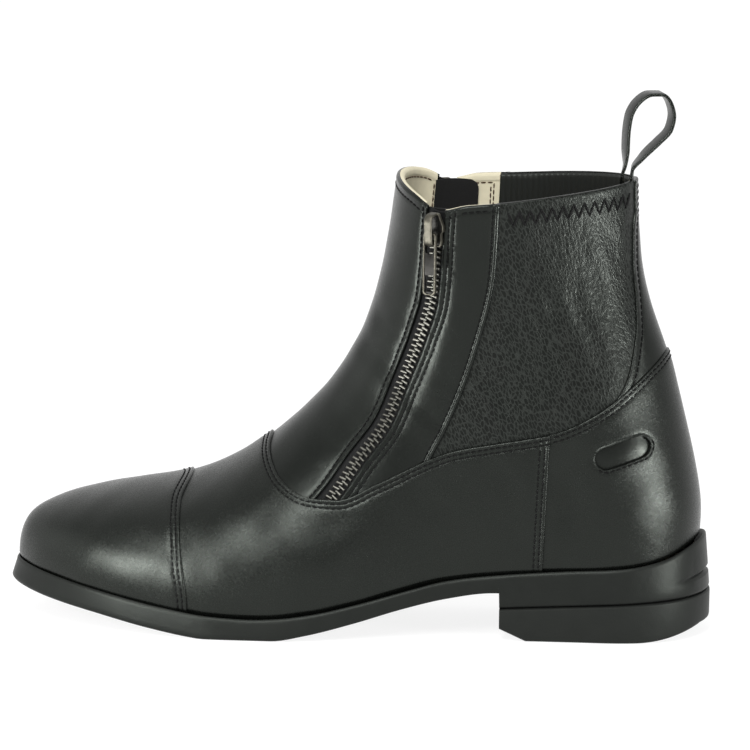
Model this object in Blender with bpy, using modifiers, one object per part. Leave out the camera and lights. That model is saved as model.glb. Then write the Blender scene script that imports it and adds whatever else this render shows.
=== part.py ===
"""Short leather riding boot for the left foot, with a zip on each side.

The toe points to -X, the outer side of the foot is -Y and up is +Z. Sizes below are in
millimetres and are scaled to metres when a mesh is made. The shape of the last is one function:
half the width of the boot at a place (x, z) of its side view. Every leather piece is cut from it.
"""
import math
from collections import namedtuple

import bmesh
import bpy
import numpy as np
from mathutils import Matrix, Vector

MM = 0.001

# Driving sizes
WALL = 2.2
GAP = 0.3
RIM_CLEAR = 0.6
LEDGE_TOE = 4.6
LEDGE_HEEL = 3.6
LEDGE_BACK = 5.1
LEDGE_TIP = 3.9
LEAN_SIDE = 0.3
LEAN_BACK = 1.6
LEAN_TIP = 1.8
INSOLE_THICKNESS = 4.0
INSOLE_CLEAR = 1.7
HEEL_BREAST_X = 59.6
HEEL_SPLIT_FRONT = 13.4
HEEL_SPLIT_BACK = 17.8
HEEL_FRONT_BEVEL = (11.0, 5.0)
HEEL_REAR_BEVEL = (26.0, 5.5)
HEEL_END_X = 142.0
HEEL_NOTCH = (26.3, 1.2, 1.6)
TOE_CAP_OUT = 2.9
VAMP_OUT = 2.0
COUNTER_OUT = 1.7
PANEL_OUT = 1.0
ZIP_FRONT = 4.8
ZIP_REAR = 3.2
ZIP_TAPE = (-1.9, -0.9)
ZIP_CHAIN = (-1.3, 0.9)
ZIP_CHAIN_HALF = 2.6
GUARD_FRONT = 7.0
GUARD_REAR = 13.0
GUARD_THICKNESS = 0.8
GUARD_TOP_Z = 180.8
SLIDER_Z = 173.1
SLIDER_LENGTH = 14.2
SLIDER_WIDTH = 8.6
SLIDER_THICKNESS = 1.9
STRAP_LOW = -5.8
STRAP_LENGTH = 13.2
STRAP_WIDTH = 3.4
STRAP_THICKNESS = 1.1
PULL_LENGTH = 25.4
PULL_WIDTH = 5.6
PULL_THICKNESS = 1.8
PULL_EYE = (2.0, 0.7, 8.0)
PULL_WINDOW = (1.5, 1.4, 8.2)
PULL_PIVOT = -1.2
PULL_PIVOT_RISE = 3.0
PULL_ROOM = 1.35
LOOP_WIDTH = 7.8
LOOP_THICKNESS = 1.3
LOOP_AXIS_X = 107.0
LOOP_TURN = 22.0
LOOP_TURN_RISE = (191.0, 203.0)
CUT_REACH = 70.0

# Colour, roughness and metallic value of each kind of piece
LEATHER = ((0.022, 0.023, 0.021), 0.42, 0.0)
FINISH = {
    "upper": ((0.026, 0.027, 0.025), 0.55, 0.0),
    "toe_cap": LEATHER,
    "vamp": LEATHER,
    "heel_counter": LEATHER,
    "back_strip": LEATHER,
    "front_panel": LEATHER,
    "facing": LEATHER,
    "pull_loop": LEATHER,
    "outsole": ((0.025, 0.026, 0.024), 0.6, 0.0),
    "heel_top_piece": ((0.025, 0.026, 0.024), 0.65, 0.0),
    "insole": ((0.55, 0.43, 0.30), 0.7, 0.0),
    "zip": ((0.05, 0.05, 0.045), 0.5, 0.0),
    "zip_guard": ((0.012, 0.012, 0.012), 0.8, 0.0),
    "zip_slider": ((0.42, 0.40, 0.34), 0.3, 1.0),
    "zip_pull": ((0.42, 0.40, 0.34), 0.3, 1.0),
}

# Mesh density: steps up one side of a section, stations along the sole, points along the cut lines
STEPS = 7
SOLE_STATIONS = 22
ZIP_POINTS = 12
EDGE_POINTS = 20
SEAM_POINTS = 12
LOOP_POINTS = 25

# Half widths of the last at the feather edge, and how each upright section rises from it:
# bulge over the edge, the share of the height where it is widest, and the power of its crown
Foot = namedtuple("Foot", "name x lateral medial ridge bulge level crown")
FOOT = (
    Foot("toe tip", -139.7, 25.5, 30.0, 2.0, 1.2, 0.30, 2.2),
    Foot("toes", -110.0, 33.5, 40.0, 3.0, 1.8, 0.30, 2.2),
    Foot("toe seam", -80.0, 40.5, 44.8, 4.0, 2.0, 0.28, 2.1),
    Foot("ball", -55.0, 43.9, 45.4, 4.0, 2.0, 0.26, 1.9),
    Foot("joint", -30.0, 43.8, 41.0, 4.0, 1.8, 0.24, 1.7),
    Foot("waist", 10.0, 38.0, 31.5, 2.0, 1.5, 0.20, 1.6),
    Foot("breast", 50.0, 30.8, 29.4, 0.0, 1.5, 0.20, 1.6),
    Foot("heel", 95.0, 30.0, 30.0, 0.0, 2.0, 0.20, 1.6),
    Foot("heel end", 138.0, 30.0, 30.0, 0.0, 2.0, 0.20, 1.6),
)
TOE_ROUND = (46.0, 2.2)
HEEL_ROUND = (36.0, 2.2)

# Level sections of the heel and shaft: half width, and how far the round back and front reach
Shaft = namedtuple("Shaft", "name z half back_run back_power front_run front_power")
SHAFT = (
    Shaft("seat", 20.0, 30.0, 36.0, 2.2, 70.0, 2.0),
    Shaft("heel bulge", 52.0, 31.9, 38.0, 2.2, 70.0, 2.0),
    Shaft("counter", 85.0, 31.5, 43.0, 2.0, 60.0, 2.0),
    Shaft("ankle", 118.0, 30.4, 54.0, 1.85, 44.0, 2.0),
    Shaft("shaft", 150.0, 32.8, 66.0, 1.75, 34.0, 2.1),
    Shaft("collar", 192.0, 36.5, 80.0, 1.7, 26.0, 2.2),
)

# Side view of the last: top of the foot and front of the shaft, then the back from seat to collar
Point = namedtuple("Point", "name x z")
TOP_LINE = (
    Point("toe tip", -139.7, 21.3),
    Point("toe wall", -139.4, 30.0),
    Point("toe shoulder", -137.0, 37.8),
    Point("toe box", -130.0, 43.3),
    Point("toe crown", -108.4, 50.1),
    Point("toe seam", -75.1, 56.5),
    Point("vamp", -58.4, 62.6),
    Point("vamp rise", -41.7, 72.9),
    Point("vamp edge", -34.0, 79.3),
    Point("instep", -17.3, 95.6),
    Point("throat", -9.1, 106.7),
    Point("bend", -1.0, 121.7),
    Point("shin low", 3.0, 132.6),
    Point("shin", 7.0, 147.1),
    Point("shin high", 10.9, 169.5),
    Point("collar front", 13.5, 189.8),
)
BACK_LINE = (
    Point("seat", 138.0, 28.5),
    Point("heel bulge", 139.4, 52.0),
    Point("counter", 136.4, 71.4),
    Point("counter high", 132.5, 88.0),
    Point("counter top", 125.0, 117.5),
    Point("tendon", 117.5, 138.6),
    Point("back", 113.1, 159.9),
    Point("collar back", 111.3, 190.3),
)

# Seams and edges in the side view, read from the toe or the top
TOE_SEAM = (
    Point("crest", -68.9, 75.0),
    Point("high", -68.9, 61.4),
    Point("bow", -73.0, 51.0),
    Point("side", -72.1, 39.7),
    Point("sole", -68.4, 14.1),
    Point("under", -68.0, 0.0),
)
VAMP_EDGE = (
    Point("above", -35.0, 96.0),
    Point("crest", -35.2, 80.8),
    Point("front", -37.2, 75.2),
    Point("corner", -31.8, 64.6),
    Point("low", -18.6, 58.2),
    Point("zip foot", -8.5, 57.8),
    Point("rise", 7.8, 64.6),
    Point("quarter", 31.6, 76.4),
    Point("quarter rise", 40.0, 79.5),
    Point("quarter back", 56.0, 82.8),
    Point("counter", 79.8, 87.5),
)
COUNTER_SEAM = (
    Point("top", 79.8, 87.5),
    Point("mid", 78.6, 60.0),
    Point("sole", 77.0, 20.0),
)
COUNTER_TOP = (
    Point("quarter", 79.8, 87.5),
    Point("rise", 97.5, 95.4),
    Point("steep", 112.5, 106.7),
    Point("strip", 120.2, 113.8),
    Point("back", 127.4, 119.8),
    Point("behind", 150.0, 121.5),
)
FACING_SEAM = (
    Point("above", 58.0, 205.0),
    Point("collar", 57.2, 181.6),
    Point("high", 55.9, 154.4),
    Point("mid", 48.0, 119.0),
    Point("low", 36.4, 87.5),
    Point("quarter", 31.4, 77.6),
)
ZIP_LINE = (
    Point("above", 33.4, 205.0),
    Point("top", 31.9, 179.7),
    Point("shin", 29.7, 143.8),
    Point("bend", 24.8, 125.7),
    Point("ankle", 18.0, 107.0),
    Point("instep", 10.8, 89.0),
    Point("low", -0.4, 73.3),
    Point("foot", -8.5, 61.2),
)
Strip = namedtuple("Strip", "name z half")
BACK_STRIP = (
    Strip("below", 95.0, 29.5),
    Strip("low", 105.5, 24.0),
    Strip("counter", 112.0, 21.2),
    Strip("flare", 121.0, 17.8),
    Strip("tendon", 131.5, 13.8),
    Strip("slim", 145.0, 10.5),
    Strip("back", 162.0, 8.2),
    Strip("narrow", 170.0, 7.4),
    Strip("top", 178.0, 4.8),
    Strip("above", 205.0, 4.4),
)
LOOP_LINE = (
    Point("inner end", 105.6, 178.0),
    Point("inner edge", 105.7, 190.0),
    Point("inner rise", 106.9, 196.0),
    Point("inner high", 107.2, 207.7),
    Point("inner bow", 108.2, 215.7),
    Point("turn", 111.8, 222.0),
    Point("crown", 117.3, 225.0),
    Point("peak", 122.0, 224.8),
    Point("outer turn", 125.6, 221.0),
    Point("outer bow", 127.0, 215.4),
    Point("outer fall", 125.8, 209.9),
    Point("outer low", 120.8, 204.6),
    Point("outer foot", 113.8, 198.5),
    Point("outer edge", 110.0, 193.6),
    Point("outer end", 109.3, 190.75),
)

# Sole along its length: top edge, underside, and the level of the seat inside the edge
Sole = namedtuple("Sole", "name x rim bottom seat")
SOLE = (
    Sole("tip", -144.0, 23.4, 13.8, 21.9),
    Sole("toe", -123.0, 20.1, 10.2, 18.6),
    Sole("toes", -105.0, 17.0, 7.2, 15.5),
    Sole("behind toes", -86.0, 13.4, 3.4, 11.9),
    Sole("tread front", -70.0, 10.9, 0.8, 9.4),
    Sole("ball front", -62.0, 9.9, 0.0, 8.4),
    Sole("ball", -42.0, 8.9, 0.0, 7.4),
    Sole("ball back", -34.0, 9.3, 0.0, 7.8),
    Sole("joint", -20.0, 11.0, 2.4, 9.5),
    Sole("arch", 0.0, 15.3, 7.5, 13.8),
    Sole("arch mid", 20.0, 20.7, 13.4, 19.2),
    Sole("arch high", 38.0, 25.0, 17.4, 23.5),
    Sole("breast", 58.0, 27.5, 19.9, 26.0),
    Sole("heel", 85.0, 29.8, 19.9, 28.0),
    Sole("heel back", 112.0, 31.5, 19.9, 28.5),
    Sole("rim rise", 127.0, 34.3, 19.9, 28.5),
    Sole("rim high", 138.0, 39.2, 19.9, 28.5),
    Sole("heel end", 144.0, 42.3, 19.9, 28.5),
)

# Which place on the top line each main section joins to which place on the seat and back line,
# as shares of the two lengths, and how many sections lie from there to the next row
Fan = namedtuple("Fan", "name top base count")
HEEL_CORNER = 0.632
FAN = (
    Fan("toe tip", 0.0, 0.0, 1),
    Fan("toe front", 0.030, 0.004, 2),
    Fan("toe box", 0.12, 0.038, 4),
    Fan("toe seam", 0.32, 0.142, 3),
    Fan("vamp", 0.468, 0.236, 3),
    Fan("instep", 0.60, 0.382, 3),
    Fan("throat", 0.68, 0.53, 2),
    Fan("heel side", 0.722, 0.605, 2),
    Fan("heel corner", 0.745, HEEL_CORNER, 2),
    Fan("heel bulge", 0.768, 0.69, 2),
    Fan("counter", 0.80, 0.765, 2),
    Fan("ankle", 0.838, 0.85, 4),
    Fan("collar", 1.0, 1.0, 0),
)
COLLAR_LINE = (
    Point("front", 13.5, 189.6),
    Point("front slope", 21.0, 186.5),
    Point("zip", 33.0, 181.0),
    Point("zip rise", 44.0, 183.4),
    Point("facing", 58.0, 184.5),
    Point("stretch", 85.0, 187.3),
    Point("back", 111.3, 190.0),
)


def spline(at, knots, values):
    """Smooth curve through a table column that never overshoots between two rows."""
    at = np.asarray(at, float)
    knots = np.asarray(knots, float)
    values = np.asarray(values, float)
    step = np.diff(knots)
    slope = np.diff(values) / step
    tangent = np.zeros(len(knots))
    weight_a = 2 * step[1:] + step[:-1]
    weight_b = step[1:] + 2 * step[:-1]
    same = slope[:-1] * slope[1:] > 0
    safe_a = np.where(same, slope[:-1], 1.0)
    safe_b = np.where(same, slope[1:], 1.0)
    mean = (weight_a + weight_b) / (weight_a / safe_a + weight_b / safe_b)
    tangent[1:-1] = np.where(same, mean, 0.0)
    tangent[0] = slope[0]
    tangent[-1] = slope[-1]
    at = np.clip(at, knots[0], knots[-1])
    cell = np.clip(np.searchsorted(knots, at) - 1, 0, len(step) - 1)
    width = step[cell]
    u = (at - knots[cell]) / width
    rise = values[cell + 1] - values[cell]
    start = tangent[cell] * width
    end = tangent[cell + 1] * width
    cubic = start + end - 2 * rise
    square = 3 * rise - 2 * start - end
    return values[cell] + u * (start + u * (square + u * cubic))


def column(table, key, at, name):
    """One named column of a table, read at any place along another column."""
    return spline(at, [getattr(row, key) for row in table], [getattr(row, name) for row in table])


def polyline(points, count=600):
    """Evenly spaced places along a smooth line through side-view points."""
    xs = np.array([p.x for p in points])
    zs = np.array([p.z for p in points])
    run = np.concatenate([[0.0], np.cumsum(np.hypot(np.diff(xs), np.diff(zs)))])
    at = np.linspace(0.0, run[-1], count)
    return np.stack([spline(at, run, xs), spline(at, run, zs)], axis=1)


TOP = polyline(TOP_LINE)
BACK = polyline(BACK_LINE)
SEAT_X = np.linspace(TOP_LINE[0].x, BACK_LINE[0].x, 400)
SEAT = np.stack([SEAT_X, column(SOLE, "x", SEAT_X, "seat")], axis=1)


def rounded(share, power):
    """Rises from 0 with an upright tangent and stays at 1, as a round end does."""
    return np.sqrt(np.clip(1.0 - np.clip(1.0 - share, 0.0, 1.0) ** power, 0.0, 1.0))


def smoothstep(value, low, high):
    u = np.clip((value - low) / (high - low), 0.0, 1.0)
    return u * u * (3.0 - 2.0 * u)


def ridge(x):
    """How far the crest of the foot lies to the inner side."""
    return column(FOOT, "x", x, "ridge")


def feather(x, side):
    """Half width of the last at its bottom edge, from the crest; side -1 outer, +1 inner."""
    name = "lateral" if side < 0 else "medial"
    half = column(FOOT, "x", x, name) - side * ridge(x)
    toe = rounded((x - TOP_LINE[0].x) / TOE_ROUND[0], TOE_ROUND[1])
    heel = rounded((BACK_LINE[0].x - x) / HEEL_ROUND[0], HEEL_ROUND[1])
    return half * toe * heel


def half_width(x, z, side):
    """Half width of the last at a place in its side view."""
    top_z = np.interp(x, TOP[:, 0], TOP[:, 1])
    top_z = top_z + np.clip(x - TOP[-1, 0], 0.0, None) * 3.0
    seat_z = column(SOLE, "x", x, "seat")
    share = np.clip((z - seat_z) / np.maximum(top_z - seat_z, 0.01), 0.0, 1.0)
    level = column(FOOT, "x", x, "level")
    edge = feather(x, side)
    bulge = column(FOOT, "x", x, "bulge") * np.clip(edge / 20.0, 0.0, 1.0)
    wide = edge + bulge * np.sin(0.5 * math.pi * np.clip(share / level, 0.0, 1.0))
    crown = np.clip((share - level) / (1.0 - level), 0.0, 1.0)
    foot = wide * np.sqrt(np.clip(1.0 - crown ** column(FOOT, "x", x, "crown"), 0.0, 1.0))
    front_x = np.interp(z, TOP[:, 1], TOP[:, 0])
    back_x = np.interp(z, BACK[:, 1], BACK[:, 0])
    back = rounded((back_x - x) / column(SHAFT, "z", z, "back_run"), column(SHAFT, "z", z, "back_power"))
    front = rounded((x - front_x) / column(SHAFT, "z", z, "front_run"), column(SHAFT, "z", z, "front_power"))
    shaft = column(SHAFT, "z", z, "half") * back * front
    blend = smoothstep(x + 1.2 * z, 15.0, 150.0)
    return foot + (shaft - foot) * blend


def along(line, share):
    """Place at a share of a line's length."""
    run = np.concatenate([[0.0], np.cumsum(np.hypot(*np.diff(line, axis=0).T))])
    at = np.asarray(share) * run[-1]
    return np.stack([np.interp(at, run, line[:, 0]), np.interp(at, run, line[:, 1])], axis=-1)


def section_grid(steps):
    """Points of the last: rows are sections from toe to collar, columns run over the boot."""
    key = np.concatenate([[0], np.cumsum([row.count for row in FAN[:-1]])])
    sections = int(key[-1])
    at = np.arange(sections + 1)
    top = along(TOP, spline(at, key, [row.top for row in FAN]))
    base_share = spline(at, key, [row.base for row in FAN])
    seat_row = base_share < HEEL_CORNER - 1e-6
    on_seat = along(SEAT, base_share / HEEL_CORNER)
    on_back = along(BACK, (base_share - HEEL_CORNER) / (1.0 - HEEL_CORNER))
    base = np.where(seat_row[:, None], on_seat, on_back)
    lift = smoothstep(at / sections, 0.86, 1.0)
    level_collar = ((TOP_LINE[-1].x, BACK_LINE[-1].x), (TOP_LINE[-1].z, BACK_LINE[-1].z))
    round_back = smoothstep(base[:, 0], 105.0, 130.0)
    round_back[~seat_row] = 1.0
    step = np.linspace(0.0, 1.0, steps + 1)
    open_end = np.sin(0.5 * math.pi * step)
    both_ends = 0.5 - 0.5 * np.cos(math.pi * step)
    grid = np.zeros((sections + 1, 2 * steps + 1, 3))
    for row in range(sections + 1):
        share = open_end + (both_ends - open_end) * round_back[row]
        place = base[row] + (top[row] - base[row]) * share[:, None]
        edge = column(COLLAR_LINE, "x", place[:, 0], "z")
        place[:, 1] += lift[row] * (edge - np.interp(place[:, 0], *level_collar))
        crest = ridge(place[:, 0])
        for side in (-1, 1):
            y = crest + side * half_width(place[:, 0], place[:, 1], side)
            y[-1] = crest[-1]
            if row == 0 or not seat_row[row]:
                y[0] = crest[0]
            half = np.stack([place[:, 0], y, place[:, 1]], axis=1)
            if side < 0:
                grid[row, :steps + 1] = half
            else:
                grid[row, steps:] = half[::-1]
    return grid


GRID = section_grid(STEPS)


def new_object(name, mesh, collection):
    item = bpy.data.objects.new(name, mesh)
    collection.objects.link(item)
    return item


def face_out(bm):
    """Turn the faces of a closed body outwards."""
    bmesh.ops.recalc_face_normals(bm, faces=bm.faces)
    if bm.calc_volume(signed=True) < 0:
        bmesh.ops.reverse_faces(bm, faces=bm.faces)


def finish_mesh(name, bm):
    mesh = bpy.data.meshes.new(name)
    bm.to_mesh(mesh)
    bm.free()
    return mesh


def clear_scene():
    for item in list(bpy.data.objects):
        bpy.data.objects.remove(item, do_unlink=True)


def make_collection(name):
    group = bpy.data.collections.new(name)
    bpy.context.scene.collection.children.link(group)
    return group


def material(name, colour, roughness, metallic=0.0):
    finish = bpy.data.materials.new(name)
    finish.use_nodes = True
    shader = finish.node_tree.nodes["Principled BSDF"]
    shader.inputs["Base Color"].default_value = (*colour, 1.0)
    shader.inputs["Roughness"].default_value = roughness
    shader.inputs["Metallic"].default_value = metallic
    return finish


def hide(item):
    """A cutter shapes other pieces and is not a piece itself."""
    item.hide_render = True
    item.display_type = "WIRE"
    return item


def boolean(item, cutter, operation):
    step = item.modifiers.new(operation.lower(), "BOOLEAN")
    step.operation = operation
    step.object = cutter


def last_skin(offset):
    """Open skin of the last, moved out along its normals; its faces point out."""
    rows, cols = GRID.shape[:2]
    bm = bmesh.new()
    verts = [[bm.verts.new(GRID[i, j] * MM) for j in range(cols)] for i in range(rows)]
    for i in range(rows - 1):
        for j in range(cols - 1):
            a, b, c, d = verts[i][j], verts[i + 1][j], verts[i + 1][j + 1], verts[i][j + 1]
            halves = ((a, b, c), (a, c, d)) if j < STEPS else ((a, b, d), (b, c, d))
            for corners in halves:
                bm.faces.new(corners)
    bmesh.ops.remove_doubles(bm, verts=bm.verts, dist=0.02 * MM)
    bm.normal_update()
    moves = [v.normal * offset * MM for v in bm.verts]
    for v, move in zip(bm.verts, moves):
        v.co += move
    return bm


def shell(name, low, high, collection):
    """Wall of the last between two distances from its surface."""
    item = new_object(name, finish_mesh(name, last_skin(low)), collection)
    wall = item.modifiers.new("wall", "SOLIDIFY")
    wall.thickness = abs(high - low) * MM
    wall.offset = 1.0 if high > low else -1.0
    wall.use_even_offset = True
    wall.use_quality_normals = True
    return item


def prism(name, outline, axis, low, high):
    """Straight block with an outline in the side view (axis Y) or the back view (axis X)."""
    bm = bmesh.new()
    verts = []
    for across, z in outline:
        place = (across, low, z) if axis == "Y" else (low, across, z)
        verts.append(bm.verts.new(Vector(place) * MM))
    face = bm.faces.new(verts)
    made = bmesh.ops.extrude_face_region(bm, geom=[face])
    moved = [v for v in made["geom"] if isinstance(v, bmesh.types.BMVert)]
    shift = Vector((0, high - low, 0)) if axis == "Y" else Vector((high - low, 0, 0))
    bmesh.ops.translate(bm, verts=moved, vec=shift * MM)
    face_out(bm)
    return hide(new_object(name, finish_mesh(name, bm), CUTTERS))


def line(points, count=SEAM_POINTS):
    return polyline(points, count)


def shifted(path, amount):
    """A side-view line moved to the left of its own direction."""
    run = np.gradient(path, axis=0)
    run /= np.linalg.norm(run, axis=1)[:, None]
    return path + amount * np.stack([-run[:, 1], run[:, 0]], axis=1)


def rim_line(first, last, count=12):
    """Lower edge of the leather, a little above the top edge of the sole."""
    x = np.linspace(first, last, count)
    return np.stack([x, column(SOLE, "x", x, "rim") + RIM_CLEAR], axis=1)


def zip_band(front, rear, top=None, short=0.0):
    """Outline of a band along the zip, so far to its front and so far to its rear."""
    path = line(ZIP_LINE, ZIP_POINTS)
    back = path[-2] - path[-1]
    path[-1] += short * back / np.linalg.norm(back)
    if top is not None:
        first = (np.interp(top, path[::-1, 1], path[::-1, 0]), top)
        path = np.concatenate([[first], path[path[:, 1] < top - 1.0]])
    return np.concatenate([shifted(path, -front), shifted(path, rear)[::-1]])


def cut_from_shell(name, low, high, cutters):
    """Piece of leather between two forms of the last, kept inside every cutter."""
    item = shell(name, low, high, PARTS)
    for cutter in cutters:
        boolean(item, cutter, "INTERSECT")
    return item


def make_upper():
    item = shell("upper", 0.0, -WALL, PARTS)
    slots = prism("zip_slots", zip_band(ZIP_FRONT, ZIP_REAR), "Y", -CUT_REACH, CUT_REACH)
    boolean(item, slots, "DIFFERENCE")
    return item


def make_toe_cap():
    seam = line(TOE_SEAM)
    foot = TOE_SEAM[-2].x
    low = rim_line(-160.0, foot - 0.1)
    low = low[low[:, 0] < foot - 0.7]
    seam = seam[seam[:, 1] > low[-1, 1]]
    outline = np.concatenate([low, seam[::-1], [(low[0, 0], seam[0, 1])]])
    cutter = prism("toe_cap_cut", outline, "Y", -CUT_REACH, CUT_REACH)
    return cut_from_shell("toe_cap", GAP, TOE_CAP_OUT, [cutter])


def make_vamp():
    seam = shifted(line(TOE_SEAM), GAP)
    low = rim_line(TOE_SEAM[-2].x + 0.4, 76.9, 16)
    seam = seam[seam[:, 1] > low[0, 1]]
    edge = line(VAMP_EDGE, EDGE_POINTS)
    back = line(COUNTER_SEAM, 8)
    back = back[(back[:, 1] > low[-1, 1]) & (back[:, 1] < edge[-1, 1] - 0.5)]
    outline = np.concatenate([seam, low, back[::-1], edge[::-1]])
    return cut_from_shell("vamp", GAP, VAMP_OUT, [prism("vamp_cut", outline, "Y", -CUT_REACH, CUT_REACH)])


def counter_outline(gap):
    front = line(COUNTER_SEAM, 8)
    front[:, 0] += GAP - gap
    low = rim_line(77.6 - gap, 160.0, 18)
    front = front[front[:, 1] > low[0, 1] + 0.5]
    top = line(COUNTER_TOP)
    top[:, 1] += gap
    return np.concatenate([front[1:], low, top[::-1]])


def make_counter():
    cutter = prism("heel_counter_cut", counter_outline(0.0), "Y", -CUT_REACH, CUT_REACH)
    return cut_from_shell("heel_counter", GAP, COUNTER_OUT, [cutter])


def make_back_strip():
    z = np.linspace(BACK_STRIP[0].z, BACK_STRIP[-1].z, 16)
    half = column(BACK_STRIP, "z", z, "half")
    outline = np.concatenate([np.stack([-half, z], axis=1), np.stack([half, z], axis=1)[::-1]])
    band = prism("back_strip_cut", outline, "X", 80.0, 160.0)
    item = cut_from_shell("back_strip", GAP, PANEL_OUT, [band])
    boolean(item, prism("back_strip_foot", counter_outline(GAP), "Y", -CUT_REACH, CUT_REACH), "DIFFERENCE")
    return item


def make_front_panel():
    edge = line(VAMP_EDGE, EDGE_POINTS)
    edge = shifted(edge, GAP)
    slot = shifted(line(ZIP_LINE, ZIP_POINTS), -ZIP_FRONT)
    edge = edge[(edge[:, 0] < slot[-1, 0]) & (edge[:, 1] < 96.0)]
    outline = np.concatenate([edge, slot[::-1], [(-40.0, 205.0)]])
    cutter = prism("front_panel_cut", outline, "Y", -CUT_REACH, CUT_REACH)
    return cut_from_shell("front_panel", GAP, PANEL_OUT, [cutter])


def make_facing(name, low, high):
    slot = shifted(line(ZIP_LINE, ZIP_POINTS), ZIP_REAR)
    seam = line(FACING_SEAM)
    edge = shifted(line(VAMP_EDGE, EDGE_POINTS), GAP)
    edge = edge[(edge[:, 0] > slot[-1, 0]) & (edge[:, 0] < seam[-1, 0])]
    outline = np.concatenate([slot, edge, seam[::-1]])
    return cut_from_shell(name, GAP, PANEL_OUT, [prism(name + "_cut", outline, "Y", low, high)])


def make_zip(name, low, high):
    """Tape in the slot with the closed chain of teeth as a ridge along it."""
    tape = prism(name + "_tape_cut", zip_band(ZIP_FRONT - GAP, ZIP_REAR - GAP), "Y", low, high)
    item = cut_from_shell(name, *ZIP_TAPE, [tape])
    chain = shell(name + "_chain", *ZIP_CHAIN, CUTTERS)
    outline = zip_band(ZIP_CHAIN_HALF, ZIP_CHAIN_HALF, short=GAP)
    band = prism(name + "_chain_cut", outline, "Y", low, high)
    boolean(chain, band, "INTERSECT")
    boolean(item, hide(chain), "UNION")
    return item


def make_guard(name, low, high):
    cutter = prism(name + "_cut", zip_band(GUARD_FRONT, GUARD_REAR, GUARD_TOP_Z), "Y", low, high)
    inner = -(WALL + GAP)
    return cut_from_shell(name, inner, inner - GUARD_THICKNESS, [cutter])


def plan_outline(x, side, grow):
    """Feather line of the last moved out by an amount that may change along it."""
    y = ridge(x) + side * feather(x, side)
    slope = np.gradient(y, x)
    size = np.sqrt(1.0 + slope ** 2)
    out_x = -side * slope / size
    out_y = side / size
    for end, tip, way in ((0, TOP_LINE[0].x, -1.0), (-1, BACK_LINE[0].x, 1.0)):
        if abs(x[end] - tip) < 0.01:
            out_x[end] = way
            out_y[end] = 0.0
    return np.stack([x + out_x * grow, y + out_y * grow], axis=1)


def stations(first, last, count, extra=()):
    """Places along the sole, closer together at the round ends."""
    u = np.linspace(0.0, 1.0, count + 1)
    x = first + (last - first) * (0.5 - 0.5 * np.cos(math.pi * u))
    return np.sort(np.concatenate([x, extra]))


def ring_solid(name, x, rings, collection):
    """Closed solid stacked from outlines; a ring gives its outward growth and its height at x."""
    bm = bmesh.new()
    loops = []
    for grow, height in rings:
        sides = []
        for side in (-1, 1):
            flat = plan_outline(x, side, grow(x))
            z = height(np.clip(flat[:, 0], x[0] - 6.0, x[-1] + 6.0), x)
            sides.append([bm.verts.new(Vector((a, b, c)) * MM) for (a, b), c in zip(flat, z)])
        loops.append(sides)
    count = len(x)
    for lower, upper_ring in zip(loops[:-1], loops[1:]):
        ring_a = lower[0] + lower[1][::-1]
        ring_b = upper_ring[0] + upper_ring[1][::-1]
        for i in range(2 * count):
            j = (i + 1) % (2 * count)
            bm.faces.new((ring_a[i], ring_a[j], ring_b[j], ring_b[i]))
    for sides in (loops[0], loops[-1]):
        for i in range(count - 1):
            bm.faces.new((sides[0][i], sides[0][i + 1], sides[1][i + 1], sides[1][i]))
    bmesh.ops.remove_doubles(bm, verts=bm.verts, dist=0.01 * MM)
    face_out(bm)
    return new_object(name, finish_mesh(name, bm), collection)


def ledge(x):
    """How far the sole stands out from the last."""
    side = LEDGE_TOE + (LEDGE_HEEL - LEDGE_TOE) * smoothstep(x, 0.0, 60.0)
    back = (LEDGE_BACK - LEDGE_HEEL) * smoothstep(x, 115.0, BACK_LINE[0].x)
    tip = (LEDGE_TIP - LEDGE_TOE) * smoothstep(-x, 125.0, -TOP_LINE[0].x)
    return side + back + tip


def lean(x):
    """How much further the foot of the sole's wall stands out than its rim."""
    tip = (LEAN_TIP - LEAN_SIDE) * smoothstep(-x, 105.0, -TOP_LINE[0].x)
    back = (LEAN_BACK - LEAN_SIDE) * smoothstep(x, 105.0, BACK_LINE[0].x)
    return LEAN_SIDE + tip + back


def sole_edge(inset, low=0.0):
    return lambda x: ledge(x) + low * lean(x) - inset


def heel_split(x):
    """Level of the joint between the heel base and its top piece, which rises to the back."""
    share = (x - HEEL_BREAST_X) / (HEEL_END_X - HEEL_BREAST_X)
    return HEEL_SPLIT_FRONT + (HEEL_SPLIT_BACK - HEEL_SPLIT_FRONT) * share


def at_rim(drop):
    return lambda x, station: column(SOLE, "x", x, "rim") - drop


def at_bottom(rise):
    """Underside of the sole; the heel base ends at the split above the top piece."""
    def height(x, station):
        heel = heel_split(x) + GAP
        return np.where(station > HEEL_BREAST_X, heel, column(SOLE, "x", x, "bottom")) + rise
    return height


def last_block(name, offset):
    """Closed block of the last, a little larger, that cuts the seat into the sole."""
    bm = last_skin(offset)
    open_edges = [edge for edge in bm.edges if edge.is_boundary]
    feather_verts = {v for edge in open_edges for v in edge.verts if v.co.z < 60.0 * MM}
    collar = [edge for edge in open_edges if edge.verts[0].co.z > 100.0 * MM]
    for v in feather_verts:
        v.co.z -= GAP * MM
    bmesh.ops.holes_fill(bm, edges=collar)
    inner = sorted((v for v in feather_verts), key=lambda v: v.co.x)
    toe = inner[0]
    heel = inner[-1]
    middle = [v for v in inner if v not in (toe, heel)]
    outer = [v for v in middle if v.co.y <= ridge(v.co.x / MM) * MM]
    left = [toe] + outer + [heel]
    right = [toe] + [v for v in middle if v not in outer] + [heel]
    for i in range(len(left) - 1):
        corners = list(dict.fromkeys((left[i], left[i + 1], right[i + 1], right[i])))
        bm.faces.new(corners)
    face_out(bm)
    return hide(new_object(name, finish_mesh(name, bm), CUTTERS))


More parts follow.
